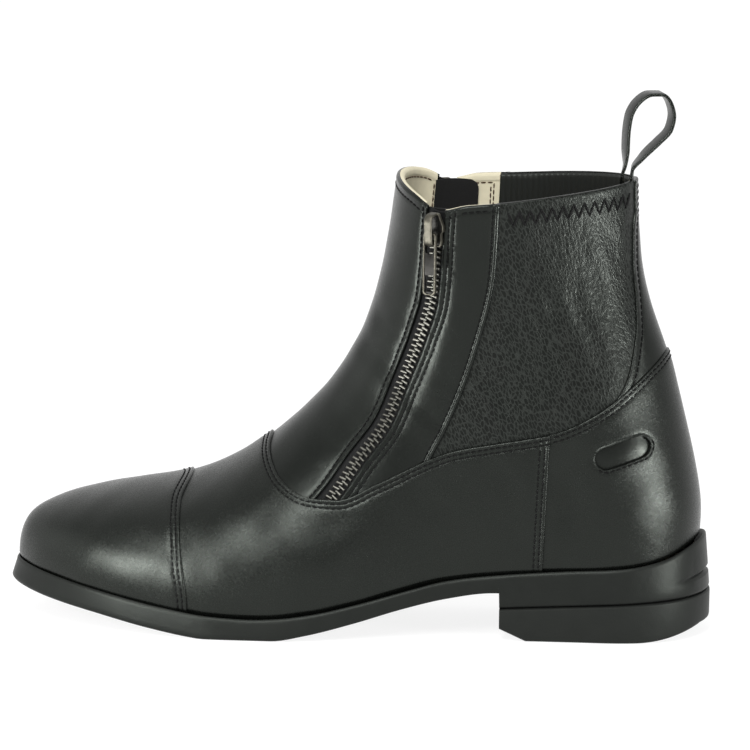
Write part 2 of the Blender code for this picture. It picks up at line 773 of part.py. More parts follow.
def make_outsole():
    flat = [row.x for row in SOLE if row.bottom == 0.0]
    breast = (HEEL_BREAST_X - 0.1, HEEL_BREAST_X + 0.1)
    x = stations(TOP_LINE[0].x, BACK_LINE[0].x, SOLE_STATIONS, (*breast, *flat))
    rings = (
        (sole_edge(1.4, 1.0), at_bottom(0.0)),
        (sole_edge(0.0, 1.0), at_bottom(1.4)),
        (sole_edge(0.0), at_rim(1.6)),
        (sole_edge(1.0), at_rim(0.0)),
    )
    item = ring_solid("outsole", x, rings, PARTS)
    boolean(item, last_block("seat_cut", GAP), "DIFFERENCE")
    level, depth, half = HEEL_NOTCH
    back = BACK_LINE[0].x + LEDGE_BACK + 0.6 * LEAN_BACK
    groove = ((back - depth, level), (back + half, level - half), (back + half, level + half))
    boolean(item, prism("heel_notch", groove, "Y", -30.0, 30.0), "DIFFERENCE")
    return item


def make_heel_top_piece():
    first = HEEL_BREAST_X + 0.1
    x = stations(first, BACK_LINE[0].x, 14, (first + HEEL_FRONT_BEVEL[0],))
    x = x[x > first - 1e-6]

    def tread(rise):
        def height(at, station):
            front = np.clip(1.0 - (at - first) / HEEL_FRONT_BEVEL[0], 0.0, 1.0) * HEEL_FRONT_BEVEL[1]
            back = np.clip((at - HEEL_END_X) / HEEL_REAR_BEVEL[0] + 1.0, 0.0, 1.0) ** 2 * HEEL_REAR_BEVEL[1]
            return front + back + rise
        return height

    def top(drop):
        return lambda at, station: heel_split(at) - drop

    rings = (
        (sole_edge(1.2, 1.0), tread(0.0)),
        (sole_edge(-0.2, 1.0), tread(1.4)),
        (sole_edge(-0.3, 1.0), top(0.9)),
        (sole_edge(0.5, 1.0), top(0.0)),
    )
    return ring_solid("heel_top_piece", x, rings, PARTS)


def make_insole():
    x = stations(TOP_LINE[0].x, BACK_LINE[0].x, 26)

    def seat(rise):
        return lambda at, station: column(SOLE, "x", at, "seat") + rise

    inset = -(WALL + INSOLE_CLEAR)
    rings = (
        (lambda x: np.full(len(x), inset), seat(0.0)),
        (lambda x: np.full(len(x), inset), seat(INSOLE_THICKNESS)),
    )
    return ring_solid("insole", x, rings, PARTS)


def make_loop():
    """Flat band, folded into a loop that turns to the outer side as it rises from the collar."""
    path = line(LOOP_LINE, LOOP_POINTS)
    run = np.gradient(path, axis=0)
    run /= np.linalg.norm(run, axis=1)[:, None]
    across = np.stack([-run[:, 1], run[:, 0]], axis=1)
    turns = math.radians(LOOP_TURN) * smoothstep(path[:, 1], *LOOP_TURN_RISE)
    bm = bmesh.new()
    rings = []
    for place, out, turn in zip(path, across, turns):
        spin = Matrix.Rotation(turn, 3, "Z")
        ring = []
        for y, side in ((-1, -1), (1, -1), (1, 1), (-1, 1)):
            flat = place + out * side * LOOP_THICKNESS / 2
            spot = spin @ Vector((flat[0] - LOOP_AXIS_X, y * LOOP_WIDTH / 2, flat[1]))
            spot.x += LOOP_AXIS_X
            ring.append(bm.verts.new(spot * MM))
        rings.append(ring)
    for a, b in zip(rings[:-1], rings[1:]):
        for i in range(4):
            j = (i + 1) % 4
            bm.faces.new((a[i], a[j], b[j], b[i]))
    bm.faces.new(rings[0])
    bm.faces.new(rings[-1])
    face_out(bm)
    return new_object("pull_loop", finish_mesh("pull_loop", bm), PARTS)


def zip_frame(side):
    """Place and axes at the slider: level across, up along the zip, out from the surface."""
    path = line(ZIP_LINE, 200)
    x, z = path[np.argmin(abs(path[:, 1] - SLIDER_Z))]

    def surface(px, pz):
        return float(ridge(px) + side * half_width(np.array(px), np.array(pz), side))

    step = 2.0
    along_x = Vector((2 * step, surface(x + step, z) - surface(x - step, z), 0))
    along_z = Vector((0, surface(x, z + step) - surface(x, z - step), 2 * step))
    out = along_x.cross(along_z).normalized()
    if out.y * side < 0:
        out = -out
    across = Vector((0, 0, 1)).cross(out).normalized()
    up = out.cross(across)
    frame = Matrix((across, up, out)).transposed()
    return Vector((x, surface(x, z), z)), frame


def flat_plate(name, outline, low, high):
    """Plate with an outline in its own plane, between two heights."""
    bm = bmesh.new()
    face = bm.faces.new([bm.verts.new(Vector((a, b, low)) * MM) for a, b in outline])
    made = bmesh.ops.extrude_face_region(bm, geom=[face])
    moved = [v for v in made["geom"] if isinstance(v, bmesh.types.BMVert)]
    bmesh.ops.translate(bm, verts=moved, vec=Vector((0, 0, high - low)) * MM)
    face_out(bm)
    return finish_mesh(name, bm)


def box_cutter(name, low, high, place):
    bm = bmesh.new()
    bmesh.ops.create_cube(bm, size=1.0)
    size = Vector(high) - Vector(low)
    middle = (Vector(high) + Vector(low)) / 2
    for v in bm.verts:
        v.co = Vector((v.co.x * size.x, v.co.y * size.y, v.co.z * size.z)) * MM + middle * MM
    item = new_object(name, finish_mesh(name, bm), CUTTERS)
    item.matrix_world = place
    return hide(item)


def arc(centre, radius, start, end, count=4):
    turn = [math.radians(start + (end - start) * i / count) for i in range(count + 1)]
    return [(centre[0] + radius * math.cos(a), centre[1] + radius * math.sin(a)) for a in turn]


def shield():
    """Outline of the slider's body, wider at the top."""
    half = SLIDER_WIDTH / 2
    foot = half * 0.75
    end = SLIDER_LENGTH / 2
    high = arc((half - 2.2, end - 2.2), 2.2, 0, 90) + arc((2.2 - half, end - 2.2), 2.2, 90, 180)
    low = arc((1.6 - foot, 1.6 - end), 1.6, 180, 270) + arc((foot - 1.6, 1.6 - end), 1.6, 270, 360)
    return high + low


def pull_outline():
    """Outline of the pull tab, from the bar that turns in the strap to its rounded end."""
    wide = PULL_WIDTH / 2
    high = arc((wide - 1.4, -0.7), 1.4, 0, 90) + arc((1.4 - wide, -0.7), 1.4, 90, 180)
    end = 2.0 - PULL_LENGTH
    return high + arc((2.0 - wide, end), 2.0, 180, 270) + arc((wide - 2.0, end), 2.0, 270, 360)


def make_slider(side, tag):
    """Shield-shaped slider with a long strap over it, and the pull tab that hangs in the strap."""
    place, frame = zip_frame(side)
    matrix = Matrix.Translation(place * MM) @ frame.to_4x4()
    base = ZIP_CHAIN[1] + GAP
    top = base + SLIDER_THICKNESS
    slider = new_object("zip_slider_" + tag, flat_plate("slider", shield(), base, top), PARTS)
    slider.matrix_world = matrix
    wide = STRAP_WIDTH / 2
    under = top + PULL_PIVOT_RISE + PULL_ROOM
    low = STRAP_LOW + STRAP_THICKNESS
    high = STRAP_LOW + STRAP_LENGTH - STRAP_THICKNESS
    outer_low = (-wide, STRAP_LOW, top - 0.5)
    outer_high = (wide, high + STRAP_THICKNESS, under + STRAP_THICKNESS)
    strap = box_cutter("strap_" + tag, outer_low, outer_high, matrix)
    room = box_cutter("strap_room_" + tag, (-2 * wide, low, top - 0.01), (2 * wide, high, under), matrix)
    boolean(strap, room, "DIFFERENCE")
    boolean(slider, strap, "UNION")
    hinge = matrix @ (Vector((0, PULL_PIVOT, top + PULL_PIVOT_RISE)) * MM)
    across = frame.col[0]
    up = Vector((0, 0, 1))
    hang = Matrix.Translation(hinge) @ Matrix((across, up, across.cross(up))).transposed().to_4x4()
    thick = PULL_THICKNESS / 2
    pull = new_object("zip_pull_" + tag, flat_plate("pull", pull_outline(), -thick, thick), PARTS)
    pull.matrix_world = hang
    half, near, far = PULL_EYE
    eye = box_cutter("pull_eye_" + tag, (-half, -far, -2 * thick), (half, -near, 2 * thick), hang)
    half, near, far = PULL_WINDOW
    low = (-half, near - PULL_LENGTH, -2 * thick)
    window = box_cutter("pull_window_" + tag, low, (half, far - PULL_LENGTH, 2 * thick), hang)
    boolean(pull, eye, "DIFFERENCE")
    boolean(pull, window, "DIFFERENCE")
    return slider, pull


def dress(item, finish):
    item.data.materials.append(finish)
    item.data.shade_smooth()
    item.data.set_sharp_from_angle(angle=math.radians(35))


def build():
    make_upper()
    make_outsole()
    make_heel_top_piece()
    make_insole()
    make_toe_cap()
    make_vamp()
    make_counter()
    make_back_strip()
    make_front_panel()
    make_loop()
    for side, tag in ((-1, "lateral"), (1, "medial")):
        low, high = sorted((0.0, CUT_REACH * side))
        make_facing("facing_" + tag, low, high)
        make_zip("zip_" + tag, low, high)
        make_guard("zip_guard_" + tag, low, high)
        make_slider(side, tag)
    for item in PARTS.objects:
        colour, roughness, metallic = FINISH[item.name.replace("_lateral", "").replace("_medial", "")]
        dress(item, material(item.name, colour, roughness, metallic))


clear_scene()
PARTS = make_collection("zip_boot")
CUTTERS = make_collection("cutters")
build()
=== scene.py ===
"""Looks of the left zip boot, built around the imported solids.

The leather, zips and sole are made again as fine meshes from the same sizes as the solids. A smooth skin of
the last carries fields, such as the distance from a seam. Every panel is cut from that skin along level lines
of the fields and raised by a profile of them. Sizes are in millimetres until a mesh is made.
"""

import math
from collections import namedtuple

import bmesh
import bpy
import numpy as np
from mathutils import Matrix, Vector


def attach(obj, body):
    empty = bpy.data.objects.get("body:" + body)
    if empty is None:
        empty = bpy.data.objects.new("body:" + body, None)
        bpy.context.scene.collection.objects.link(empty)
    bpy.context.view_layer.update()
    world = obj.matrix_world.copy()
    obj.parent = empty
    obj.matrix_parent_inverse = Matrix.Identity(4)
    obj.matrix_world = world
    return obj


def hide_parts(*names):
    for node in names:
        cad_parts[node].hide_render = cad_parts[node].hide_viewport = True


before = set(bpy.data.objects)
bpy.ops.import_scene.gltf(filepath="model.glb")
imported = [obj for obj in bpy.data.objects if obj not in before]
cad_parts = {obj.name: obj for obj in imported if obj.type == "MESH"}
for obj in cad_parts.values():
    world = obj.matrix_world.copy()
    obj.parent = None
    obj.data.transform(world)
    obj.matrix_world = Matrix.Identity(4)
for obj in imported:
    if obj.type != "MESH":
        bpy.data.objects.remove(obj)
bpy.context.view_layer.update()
MM = 0.001

# Sizes shared with the solids
WALL = 2.2
GAP = 0.3
LEDGE_TOE = 4.6
LEDGE_HEEL = 3.6
LEDGE_BACK = 5.1
LEDGE_TIP = 3.9
LEAN_SIDE = 0.3
LEAN_BACK = 1.6
LEAN_TIP = 1.8
INSOLE_THICKNESS = 4.0
INSOLE_CLEAR = 0.6
HEEL_BREAST_X = 59.6
HEEL_SPLIT_FRONT = 13.4
HEEL_SPLIT_BACK = 17.8
HEEL_FRONT_BEVEL = (11.0, 5.0)
HEEL_REAR_BEVEL = (26.0, 5.5)
HEEL_END_X = 142.0
TOE_CAP_OUT = 2.9
VAMP_OUT = 2.0
COUNTER_OUT = 1.7
PANEL_OUT = 1.0
ZIP_FRONT = 4.8
ZIP_REAR = 3.2
ZIP_CHAIN_TOP = 0.9
GUARD_FRONT = 7.0
GUARD_REAR = 13.0
GUARD_TOP_Z = 180.8
SLIDER_Z = 173.1
SLIDER_LENGTH = 14.2
SLIDER_WIDTH = 8.6
SLIDER_THICKNESS = 1.9
STRAP_LOW = -5.8
STRAP_LENGTH = 13.2
STRAP_WIDTH = 3.4
STRAP_THICKNESS = 1.1
PULL_LENGTH = 25.4
PULL_WIDTH = 5.6
PULL_THICKNESS = 1.8
PULL_EYE = (2.0, 0.7, 8.0)
PULL_WINDOW = (1.9, 1.3, 8.3)
PULL_PIVOT = -1.2
PULL_PIVOT_RISE = 3.0
PULL_ROOM = 1.35
LOOP_WIDTH = 7.8
LOOP_AXIS_X = 107.0
LOOP_TURN = 22.0
LOOP_TURN_RISE = (191.0, 203.0)

# Half widths of the last at the feather edge, and how each upright section rises from it:
# bulge over the edge, the share of the height where it is widest, and the power of its crown
Foot = namedtuple("Foot", "name x lateral medial ridge bulge level crown")
FOOT = (
    Foot("toe tip", -139.7, 25.5, 30.0, 2.0, 1.2, 0.30, 2.2),
    Foot("toes", -110.0, 33.5, 40.0, 3.0, 1.8, 0.30, 2.2),
    Foot("toe seam", -80.0, 40.5, 44.8, 4.0, 2.0, 0.28, 2.1),
    Foot("ball", -55.0, 43.9, 45.4, 4.0, 2.0, 0.26, 1.9),
    Foot("joint", -30.0, 43.8, 41.0, 4.0, 1.8, 0.24, 1.7),
    Foot("waist", 10.0, 38.0, 31.5, 2.0, 1.5, 0.20, 1.6),
    Foot("breast", 50.0, 30.8, 29.4, 0.0, 1.5, 0.20, 1.6),
    Foot("heel", 95.0, 30.0, 30.0, 0.0, 2.0, 0.20, 1.6),
    Foot("heel end", 138.0, 30.0, 30.0, 0.0, 2.0, 0.20, 1.6),
)
SHAFT_SLANT = 1.2
SHAFT_BLEND = (15.0, 150.0)
TOE_ROUND = (46.0, 2.2)
HEEL_ROUND = (36.0, 2.2)

# Level sections of the heel and shaft: half width, and how far the round back and front reach
Shaft = namedtuple("Shaft", "name z half back_run back_power front_run front_power")
SHAFT = (
    Shaft("seat", 20.0, 30.0, 36.0, 2.2, 70.0, 2.0),
    Shaft("heel bulge", 52.0, 31.9, 38.0, 2.2, 70.0, 2.0),
    Shaft("counter", 85.0, 31.5, 43.0, 2.0, 60.0, 2.0),
    Shaft("ankle", 118.0, 30.4, 54.0, 1.85, 44.0, 2.0),
    Shaft("shaft", 150.0, 32.8, 66.0, 1.75, 34.0, 2.1),
    Shaft("collar", 192.0, 36.5, 80.0, 1.7, 26.0, 2.2),
)

# Side view of the last: top of the foot and front of the shaft, then the back from seat to collar
Point = namedtuple("Point", "name x z")
TOP_LINE = (
    Point("toe tip", -139.7, 21.3),
    Point("toe wall", -139.4, 30.0),
    Point("toe shoulder", -137.0, 37.8),
    Point("toe box", -130.0, 43.3),
    Point("toe crown", -108.4, 50.1),
    Point("toe seam", -75.1, 56.5),
    Point("vamp", -58.4, 62.6),
    Point("vamp rise", -41.7, 72.9),
    Point("vamp edge", -34.0, 79.3),
    Point("instep", -17.3, 95.6),
    Point("throat", -9.1, 106.7),
    Point("bend", -1.0, 121.7),
    Point("shin low", 3.0, 132.6),
    Point("shin", 7.0, 147.1),
    Point("shin high", 10.9, 169.5),
    Point("collar front", 13.5, 189.8),
)
BACK_LINE = (
    Point("seat", 138.0, 28.5),
    Point("heel bulge", 139.4, 52.0),
    Point("counter", 136.4, 71.4),
    Point("counter high", 132.5, 88.0),
    Point("counter top", 125.0, 117.5),
    Point("tendon", 117.5, 138.6),
    Point("back", 113.1, 159.9),
    Point("collar back", 111.3, 190.3),
)
COLLAR_LINE = (
    Point("front", 13.5, 189.6),
    Point("front slope", 21.0, 186.5),
    Point("zip", 33.0, 181.0),
    Point("zip rise", 44.0, 183.4),
    Point("facing", 58.0, 184.5),
    Point("stretch", 85.0, 187.3),
    Point("back", 111.3, 190.0),
)

# Seams and edges in the side view, read from the toe or the top
TOE_SEAM = (
    Point("crest", -68.9, 75.0),
    Point("high", -68.9, 61.4),
    Point("bow", -73.0, 51.0),
    Point("side", -72.1, 39.7),
    Point("sole", -68.4, 14.1),
    Point("under", -68.0, 0.0),
)
QUARTER_EDGE = (
    Point("above", -35.0, 96.0),
    Point("crest", -35.2, 80.8),
    Point("front", -37.2, 75.2),
    Point("corner", -31.8, 64.6),
    Point("low", -18.6, 58.2),
    Point("zip foot", -8.5, 57.8),
    Point("rise", 7.8, 64.6),
    Point("quarter", 31.6, 76.4),
    Point("quarter rise", 40.0, 79.5),
    Point("quarter back", 56.0, 82.8),
    Point("counter", 79.8, 87.5),
    Point("counter rise", 97.5, 95.4),
    Point("steep", 112.5, 106.7),
    Point("strip", 120.2, 113.8),
    Point("back", 127.4, 119.8),
    Point("behind", 150.0, 121.5),
)
COUNTER_SEAM = (
    Point("above", 80.8, 110.0),
    Point("top", 79.8, 87.5),
    Point("mid", 78.6, 60.0),
    Point("sole", 77.0, 20.0),
)
FACING_SEAM = (
    Point("above", 58.0, 205.0),
    Point("collar", 57.2, 181.6),
    Point("high", 55.9, 154.4),
    Point("mid", 48.0, 119.0),
    Point("low", 36.4, 87.5),
    Point("quarter", 31.4, 77.6),
    Point("under", 26.0, 66.0),
)
ZIP_LINE = (
    Point("above", 33.4, 205.0),
    Point("top", 31.9, 179.7),
    Point("shin", 29.7, 143.8),
    Point("bend", 24.8, 125.7),
    Point("ankle", 18.0, 107.0),
    Point("instep", 10.8, 89.0),
    Point("low", -0.4, 73.3),
    Point("foot", -8.5, 61.2),
    Point("under", -17.0, 51.0),
)
Strip = namedtuple("Strip", "name z half")
BACK_STRIP = (
    Strip("below", 95.0, 29.5),
    Strip("low", 105.5, 24.0),
    Strip("counter", 112.0, 21.2),
    Strip("flare", 121.0, 17.8),
    Strip("tendon", 131.5, 13.8),
    Strip("slim", 145.0, 10.5),
    Strip("back", 162.0, 8.2),
    Strip("narrow", 170.0, 7.4),
    Strip("top", 178.0, 4.8),
    Strip("above", 205.0, 4.4),
)
LOOP_LINE = (
    Point("inner end", 105.6, 178.0),
    Point("inner edge", 105.7, 190.0),
    Point("inner rise", 106.9, 196.0),
    Point("inner high", 107.2, 207.7),
    Point("inner bow", 108.2, 215.7),
    Point("turn", 111.8, 222.0),
    Point("crown", 117.3, 225.0),
    Point("peak", 122.0, 224.8),
    Point("outer turn", 125.6, 221.0),
    Point("outer bow", 127.0, 215.4),
    Point("outer fall", 125.8, 209.9),
    Point("outer low", 120.8, 204.6),
    Point("outer foot", 113.8, 198.5),
    Point("outer edge", 110.0, 193.6),
    Point("outer end", 109.5, 184.0),
)

# Sole along its length: top edge, underside, and the level of the seat inside the edge
Sole = namedtuple("Sole", "name x rim bottom seat")
SOLE = (
    Sole("tip", -144.0, 23.4, 13.8, 21.9),
    Sole("toe", -123.0, 20.1, 10.2, 18.6),
    Sole("toes", -105.0, 17.0, 7.2, 15.5),
    Sole("behind toes", -86.0, 13.4, 3.4, 11.9),
    Sole("tread front", -70.0, 10.9, 0.8, 9.4),
    Sole("ball front", -62.0, 9.9, 0.0, 8.4),
    Sole("ball", -42.0, 8.9, 0.0, 7.4),
    Sole("ball back", -34.0, 9.3, 0.0, 7.8),
    Sole("joint", -20.0, 11.0, 2.4, 9.5),
    Sole("arch", 0.0, 15.3, 7.5, 13.8),
    Sole("arch mid", 20.0, 20.7, 13.4, 19.2),
    Sole("arch high", 38.0, 25.0, 17.4, 23.5),
    Sole("breast", 58.0, 27.5, 19.9, 26.0),
    Sole("heel", 85.0, 29.8, 19.9, 28.0),
    Sole("heel back", 112.0, 31.5, 19.9, 28.5),
    Sole("rim rise", 127.0, 34.3, 19.9, 28.5),
    Sole("rim high", 138.0, 39.2, 19.9, 28.5),
    Sole("heel end", 144.0, 42.3, 19.9, 28.5),
)

# Which place on the top line each main section joins to which place on the seat and back line,
# as shares of the two lengths, and how many sections lie from there to the next row
Fan = namedtuple("Fan", "name top base count")
HEEL_CORNER = 0.632
FAN = (
    Fan("toe tip", 0.0, 0.0, 1),
    Fan("toe front", 0.030, 0.004, 2),
    Fan("toe box", 0.12, 0.038, 4),
    Fan("toe seam", 0.32, 0.142, 3),
    Fan("vamp", 0.468, 0.236, 3),
    Fan("instep", 0.60, 0.382, 3),
    Fan("throat", 0.68, 0.53, 2),
    Fan("heel side", 0.722, 0.605, 2),
    Fan("heel corner", 0.745, HEEL_CORNER, 2),
    Fan("heel bulge", 0.768, 0.69, 2),
    Fan("counter", 0.80, 0.765, 2),
    Fan("ankle", 0.838, 0.85, 4),
    Fan("collar", 1.0, 1.0, 0),
)

# Fineness of the visual meshes
FINE_STEPS = 80
FINE_ROWS = 9
SMOOTHING = 14
SOLE_STATIONS = 180
HEEL_STATIONS = 90
INSOLE_STATIONS = 120
TREAD_ACROSS = 24
TREAD_DEPTH = 0.8
FOREPART_PITCH = 7.5
HEEL_PITCH = 8.0
SNAP = 0.03

# Stitches: thread, pitch, length, and the soft groove that they pull into the leather
THREAD = 0.62
STITCH_PITCH = 2.6
STITCH_LENGTH = 2.15
GROOVE_DEPTH = 0.30
GROOVE_HALF = 0.55
STITCH_LIFT = 0.12

# Leather edges: where a rounding is cut, how soon a swell fades, how deep a piece goes under the skin,
# where it turns in at the collar, and how it tucks in under the edge of the sole
EDGE_CUTS = (0.12, 0.4, 1.0)
SWELL_FADE = 2.2
PANEL_UNDER = 0.3
TURN_IN = (-1.6, -0.8)
TUCK_DEPTH = 1.8
TUCK_RANGE = (-2.4, 2.0)

# Soft troughs and ridges of the leather, placed in the side view: a negative depth is a trough
Crease = namedtuple("Crease", "name x0 z0 x1 z1 half depth")
CREASES = (
    Crease("behind toe seam", -63.8, 52.0, -59.3, 20.0, 4.5, -0.15),
    Crease("first flex", -53.5, 58.0, -46.0, 34.0, 6.0, 0.06),
    Crease("second flex", -44.0, 56.0, -37.0, 34.0, 5.0, -0.06),
    Crease("flex end", -33.0, 52.0, -27.0, 36.0, 5.5, 0.05),
    Crease("under zip foot", -18.0, 49.0, 4.0, 51.0, 6.0, -0.20),
    Crease("counter hollow", 88.0, 80.0, 86.0, 48.0, 8.0, -0.90),
    Crease("ankle front", 2.0, 118.0, 14.0, 112.0, 4.0, -0.40),
    Crease("ankle high", 6.0, 132.0, 18.0, 127.0, 4.0, -0.30),
    Crease("facing soft", 40.0, 120.0, 33.0, 96.0, 3.0, -0.15),
    Crease("stretch one", 62.0, 168.0, 74.0, 132.0, 2.4, -0.45),
    Crease("stretch two", 69.0, 164.0, 80.0, 136.0, 2.2, -0.35),
    Crease("stretch three", 60.0, 140.0, 72.0, 112.0, 2.4, -0.45),
    Crease("stretch four", 78.0, 128.0, 90.0, 104.0, 2.6, -0.40),
    Crease("stretch five", 88.0, 150.0, 98.0, 118.0, 2.6, -0.35),
    Crease("stretch six", 52.0, 112.0, 62.0, 92.0, 2.4, -0.40),
    Crease("stretch seven", 96.0, 172.0, 102.0, 140.0, 3.0, 0.35),
)


def spline(at, knots, values):
    """Smooth curve through a table column that never overshoots between two rows."""
    at = np.asarray(at, float)
    knots = np.asarray(knots, float)
    values = np.asarray(values, float)
    step = np.diff(knots)
    slope = np.diff(values) / step
    tangent = np.zeros(len(knots))
    weight_a = 2 * step[1:] + step[:-1]
    weight_b = step[1:] + 2 * step[:-1]
    same = slope[:-1] * slope[1:] > 0
    safe_a = np.where(same, slope[:-1], 1.0)
    safe_b = np.where(same, slope[1:], 1.0)
    mean = (weight_a + weight_b) / (weight_a / safe_a + weight_b / safe_b)
    tangent[1:-1] = np.where(same, mean, 0.0)
    tangent[0] = slope[0]
    tangent[-1] = slope[-1]
    at = np.clip(at, knots[0], knots[-1])
    cell = np.clip(np.searchsorted(knots, at) - 1, 0, len(step) - 1)
    width = step[cell]
    u = (at - knots[cell]) / width
    rise = values[cell + 1] - values[cell]
    start = tangent[cell] * width
    end = tangent[cell + 1] * width
    cubic = start + end - 2 * rise
    square = 3 * rise - 2 * start - end
    return values[cell] + u * (start + u * (square + u * cubic))


def column(table, key, at, name):
    """One named column of a table, read at any place along another column."""
    return spline(at, [getattr(row, key) for row in table], [getattr(row, name) for row in table])


def polyline(points, count=600):
    """Evenly spaced places along a smooth line through side-view points."""
    xs = np.array([p.x for p in points])
    zs = np.array([p.z for p in points])
    run = np.concatenate([[0.0], np.cumsum(np.hypot(np.diff(xs), np.diff(zs)))])
    at = np.linspace(0.0, run[-1], count)
    return np.stack([spline(at, run, xs), spline(at, run, zs)], axis=1)


TOP = polyline(TOP_LINE)
BACK = polyline(BACK_LINE)
SEAT_X = np.linspace(TOP_LINE[0].x, BACK_LINE[0].x, 400)
SEAT = np.stack([SEAT_X, column(SOLE, "x", SEAT_X, "seat")], axis=1)


def rounded(share, power):
    """Rises from 0 with an upright tangent and stays at 1, as a round end does."""
    return np.sqrt(np.clip(1.0 - np.clip(1.0 - share, 0.0, 1.0) ** power, 0.0, 1.0))


def smoothstep(value, low, high):
    u = np.clip((value - low) / (high - low), 0.0, 1.0)
    return u * u * (3.0 - 2.0 * u)


def unit(vectors):
    """Rows scaled to a length of one."""
    return vectors / np.maximum(np.linalg.norm(vectors, axis=1), 1e-9)[:, None]


def square_to(ups, ways):
    """Rows turned to stand square to the ways, with a length of one."""
    return unit(ups - ways * (ups * ways).sum(axis=1)[:, None])


def ridge(x):
    """How far the crest of the foot lies to the inner side."""
    return column(FOOT, "x", x, "ridge")


def feather(x, side):
    """Half width of the last at its bottom edge, from the crest; side -1 outer, +1 inner."""
    name = "lateral" if side < 0 else "medial"
    half = column(FOOT, "x", x, name) - side * ridge(x)
    toe = rounded((x - TOP_LINE[0].x) / TOE_ROUND[0], TOE_ROUND[1])
    heel = rounded((BACK_LINE[0].x - x) / HEEL_ROUND[0], HEEL_ROUND[1])
    return half * toe * heel


def half_width(x, z, side):
    """Half width of the last at a place in its side view."""
    top_z = np.interp(x, TOP[:, 0], TOP[:, 1])
    top_z = top_z + np.clip(x - TOP[-1, 0], 0.0, None) * 3.0
    seat_z = column(SOLE, "x", x, "seat")
    share = np.clip((z - seat_z) / np.maximum(top_z - seat_z, 0.01), 0.0, 1.0)
    level = column(FOOT, "x", x, "level")
    edge = feather(x, side)
    bulge = column(FOOT, "x", x, "bulge") * np.clip(edge / 20.0, 0.0, 1.0)
    wide = edge + bulge * np.sin(0.5 * math.pi * np.clip(share / level, 0.0, 1.0))
    crown = np.clip((share - level) / (1.0 - level), 0.0, 1.0)
    foot = wide * np.sqrt(np.clip(1.0 - crown ** column(FOOT, "x", x, "crown"), 0.0, 1.0))
    front_x = np.interp(z, TOP[:, 1], TOP[:, 0])
    back_x = np.interp(z, BACK[:, 1], BACK[:, 0])
    back = rounded((back_x - x) / column(SHAFT, "z", z, "back_run"), column(SHAFT, "z", z, "back_power"))
    front = rounded((x - front_x) / column(SHAFT, "z", z, "front_run"), column(SHAFT, "z", z, "front_power"))
    shaft = column(SHAFT, "z", z, "half") * back * front
    blend = smoothstep(x + SHAFT_SLANT * z, *SHAFT_BLEND)
    return foot + (shaft - foot) * blend


def along(line, share):
    """Place at a share of a line's length."""
    run = np.concatenate([[0.0], np.cumsum(np.hypot(*np.diff(line, axis=0).T))])
    at = np.asarray(share) * run[-1]
    return np.stack([np.interp(at, run, line[:, 0]), np.interp(at, run, line[:, 1])], axis=-1)


def section_grid(steps, fineness):
    """Points of the last: rows are sections from toe to collar, columns run over the boot."""
    key = np.concatenate([[0], np.cumsum([row.count for row in FAN[:-1]])]) * fineness
    sections = int(key[-1])
    at = np.arange(sections + 1)
    top = along(TOP, spline(at, key, [row.top for row in FAN]))
    base_share = spline(at, key, [row.base for row in FAN])
    seat_row = base_share < HEEL_CORNER - 1e-6
    on_seat = along(SEAT, base_share / HEEL_CORNER)
    on_back = along(BACK, (base_share - HEEL_CORNER) / (1.0 - HEEL_CORNER))
    base = np.where(seat_row[:, None], on_seat, on_back)
    lift = smoothstep(at / sections, 0.86, 1.0)
    level_collar = ((TOP_LINE[-1].x, BACK_LINE[-1].x), (TOP_LINE[-1].z, BACK_LINE[-1].z))
    round_back = smoothstep(base[:, 0], 105.0, 130.0)
    round_back[~seat_row] = 1.0
    step = np.linspace(0.0, 1.0, steps + 1)
    open_end = np.sin(0.5 * math.pi * step)
    both_ends = 0.5 - 0.5 * np.cos(math.pi * step)
    grid = np.zeros((sections + 1, 2 * steps + 1, 3))
    for row in range(sections + 1):
        share = open_end + (both_ends - open_end) * round_back[row]
        place = base[row] + (top[row] - base[row]) * share[:, None]
        edge = column(COLLAR_LINE, "x", place[:, 0], "z")
        place[:, 1] += lift[row] * (edge - np.interp(place[:, 0], *level_collar))
        crest = ridge(place[:, 0])
        for side in (-1, 1):
            y = crest + side * half_width(place[:, 0], place[:, 1], side)
            y[-1] = crest[-1]
            if row == 0 or not seat_row[row]:
                y[0] = crest[0]
            half = np.stack([place[:, 0], y, place[:, 1]], axis=1)
            if side < 0:
                grid[row, :steps + 1] = half
            else:
                grid[row, steps:] = half[::-1]
    return grid, ~seat_row


def smooth_grid():
    """The section grid with its small kinks evened out; closed rows join at the back."""
    grid, closed = section_grid(FINE_STEPS, FINE_ROWS)
    joined = np.flatnonzero(closed)[1:-1]
    for _ in range(SMOOTHING):
        mean = grid.copy()
        mean[1:-1, 1:-1] = (grid[:-2, 1:-1] + grid[2:, 1:-1] + grid[1:-1, :-2] + grid[1:-1, 2:]) / 4.0
        back = (grid[joined - 1, 0] + grid[joined + 1, 0] + grid[joined, 1] + grid[joined, -2]) / 4.0
        mean[joined, 0] = back
        mean[joined, -1] = back
        grid += 0.5 * (mean - grid)
    return grid


GRID = smooth_grid()
Skin = namedtuple("Skin", "points normals cells first")


def make_skin():
    """Unique points of the grid with their outward normals and the four-cornered cells between them."""
    flat = GRID.reshape(-1, 3)
    _, first, ids = np.unique(np.round(flat, 3), axis=0, return_index=True, return_inverse=True)
    ids = ids.reshape(GRID.shape[:2])
    cells = np.stack([ids[:-1, :-1], ids[1:, :-1], ids[1:, 1:], ids[:-1, 1:]], axis=-1).reshape(-1, 4)
    points = flat[first]
    a, b, c, d = (points[cells[:, k]] for k in range(4))
    face = np.cross(c - a, d - b)
    normals = np.zeros_like(points)
    for k in range(4):
        np.add.at(normals, cells[:, k], face)
    return Skin(points, unit(normals), cells, first)


SKIN = make_skin()


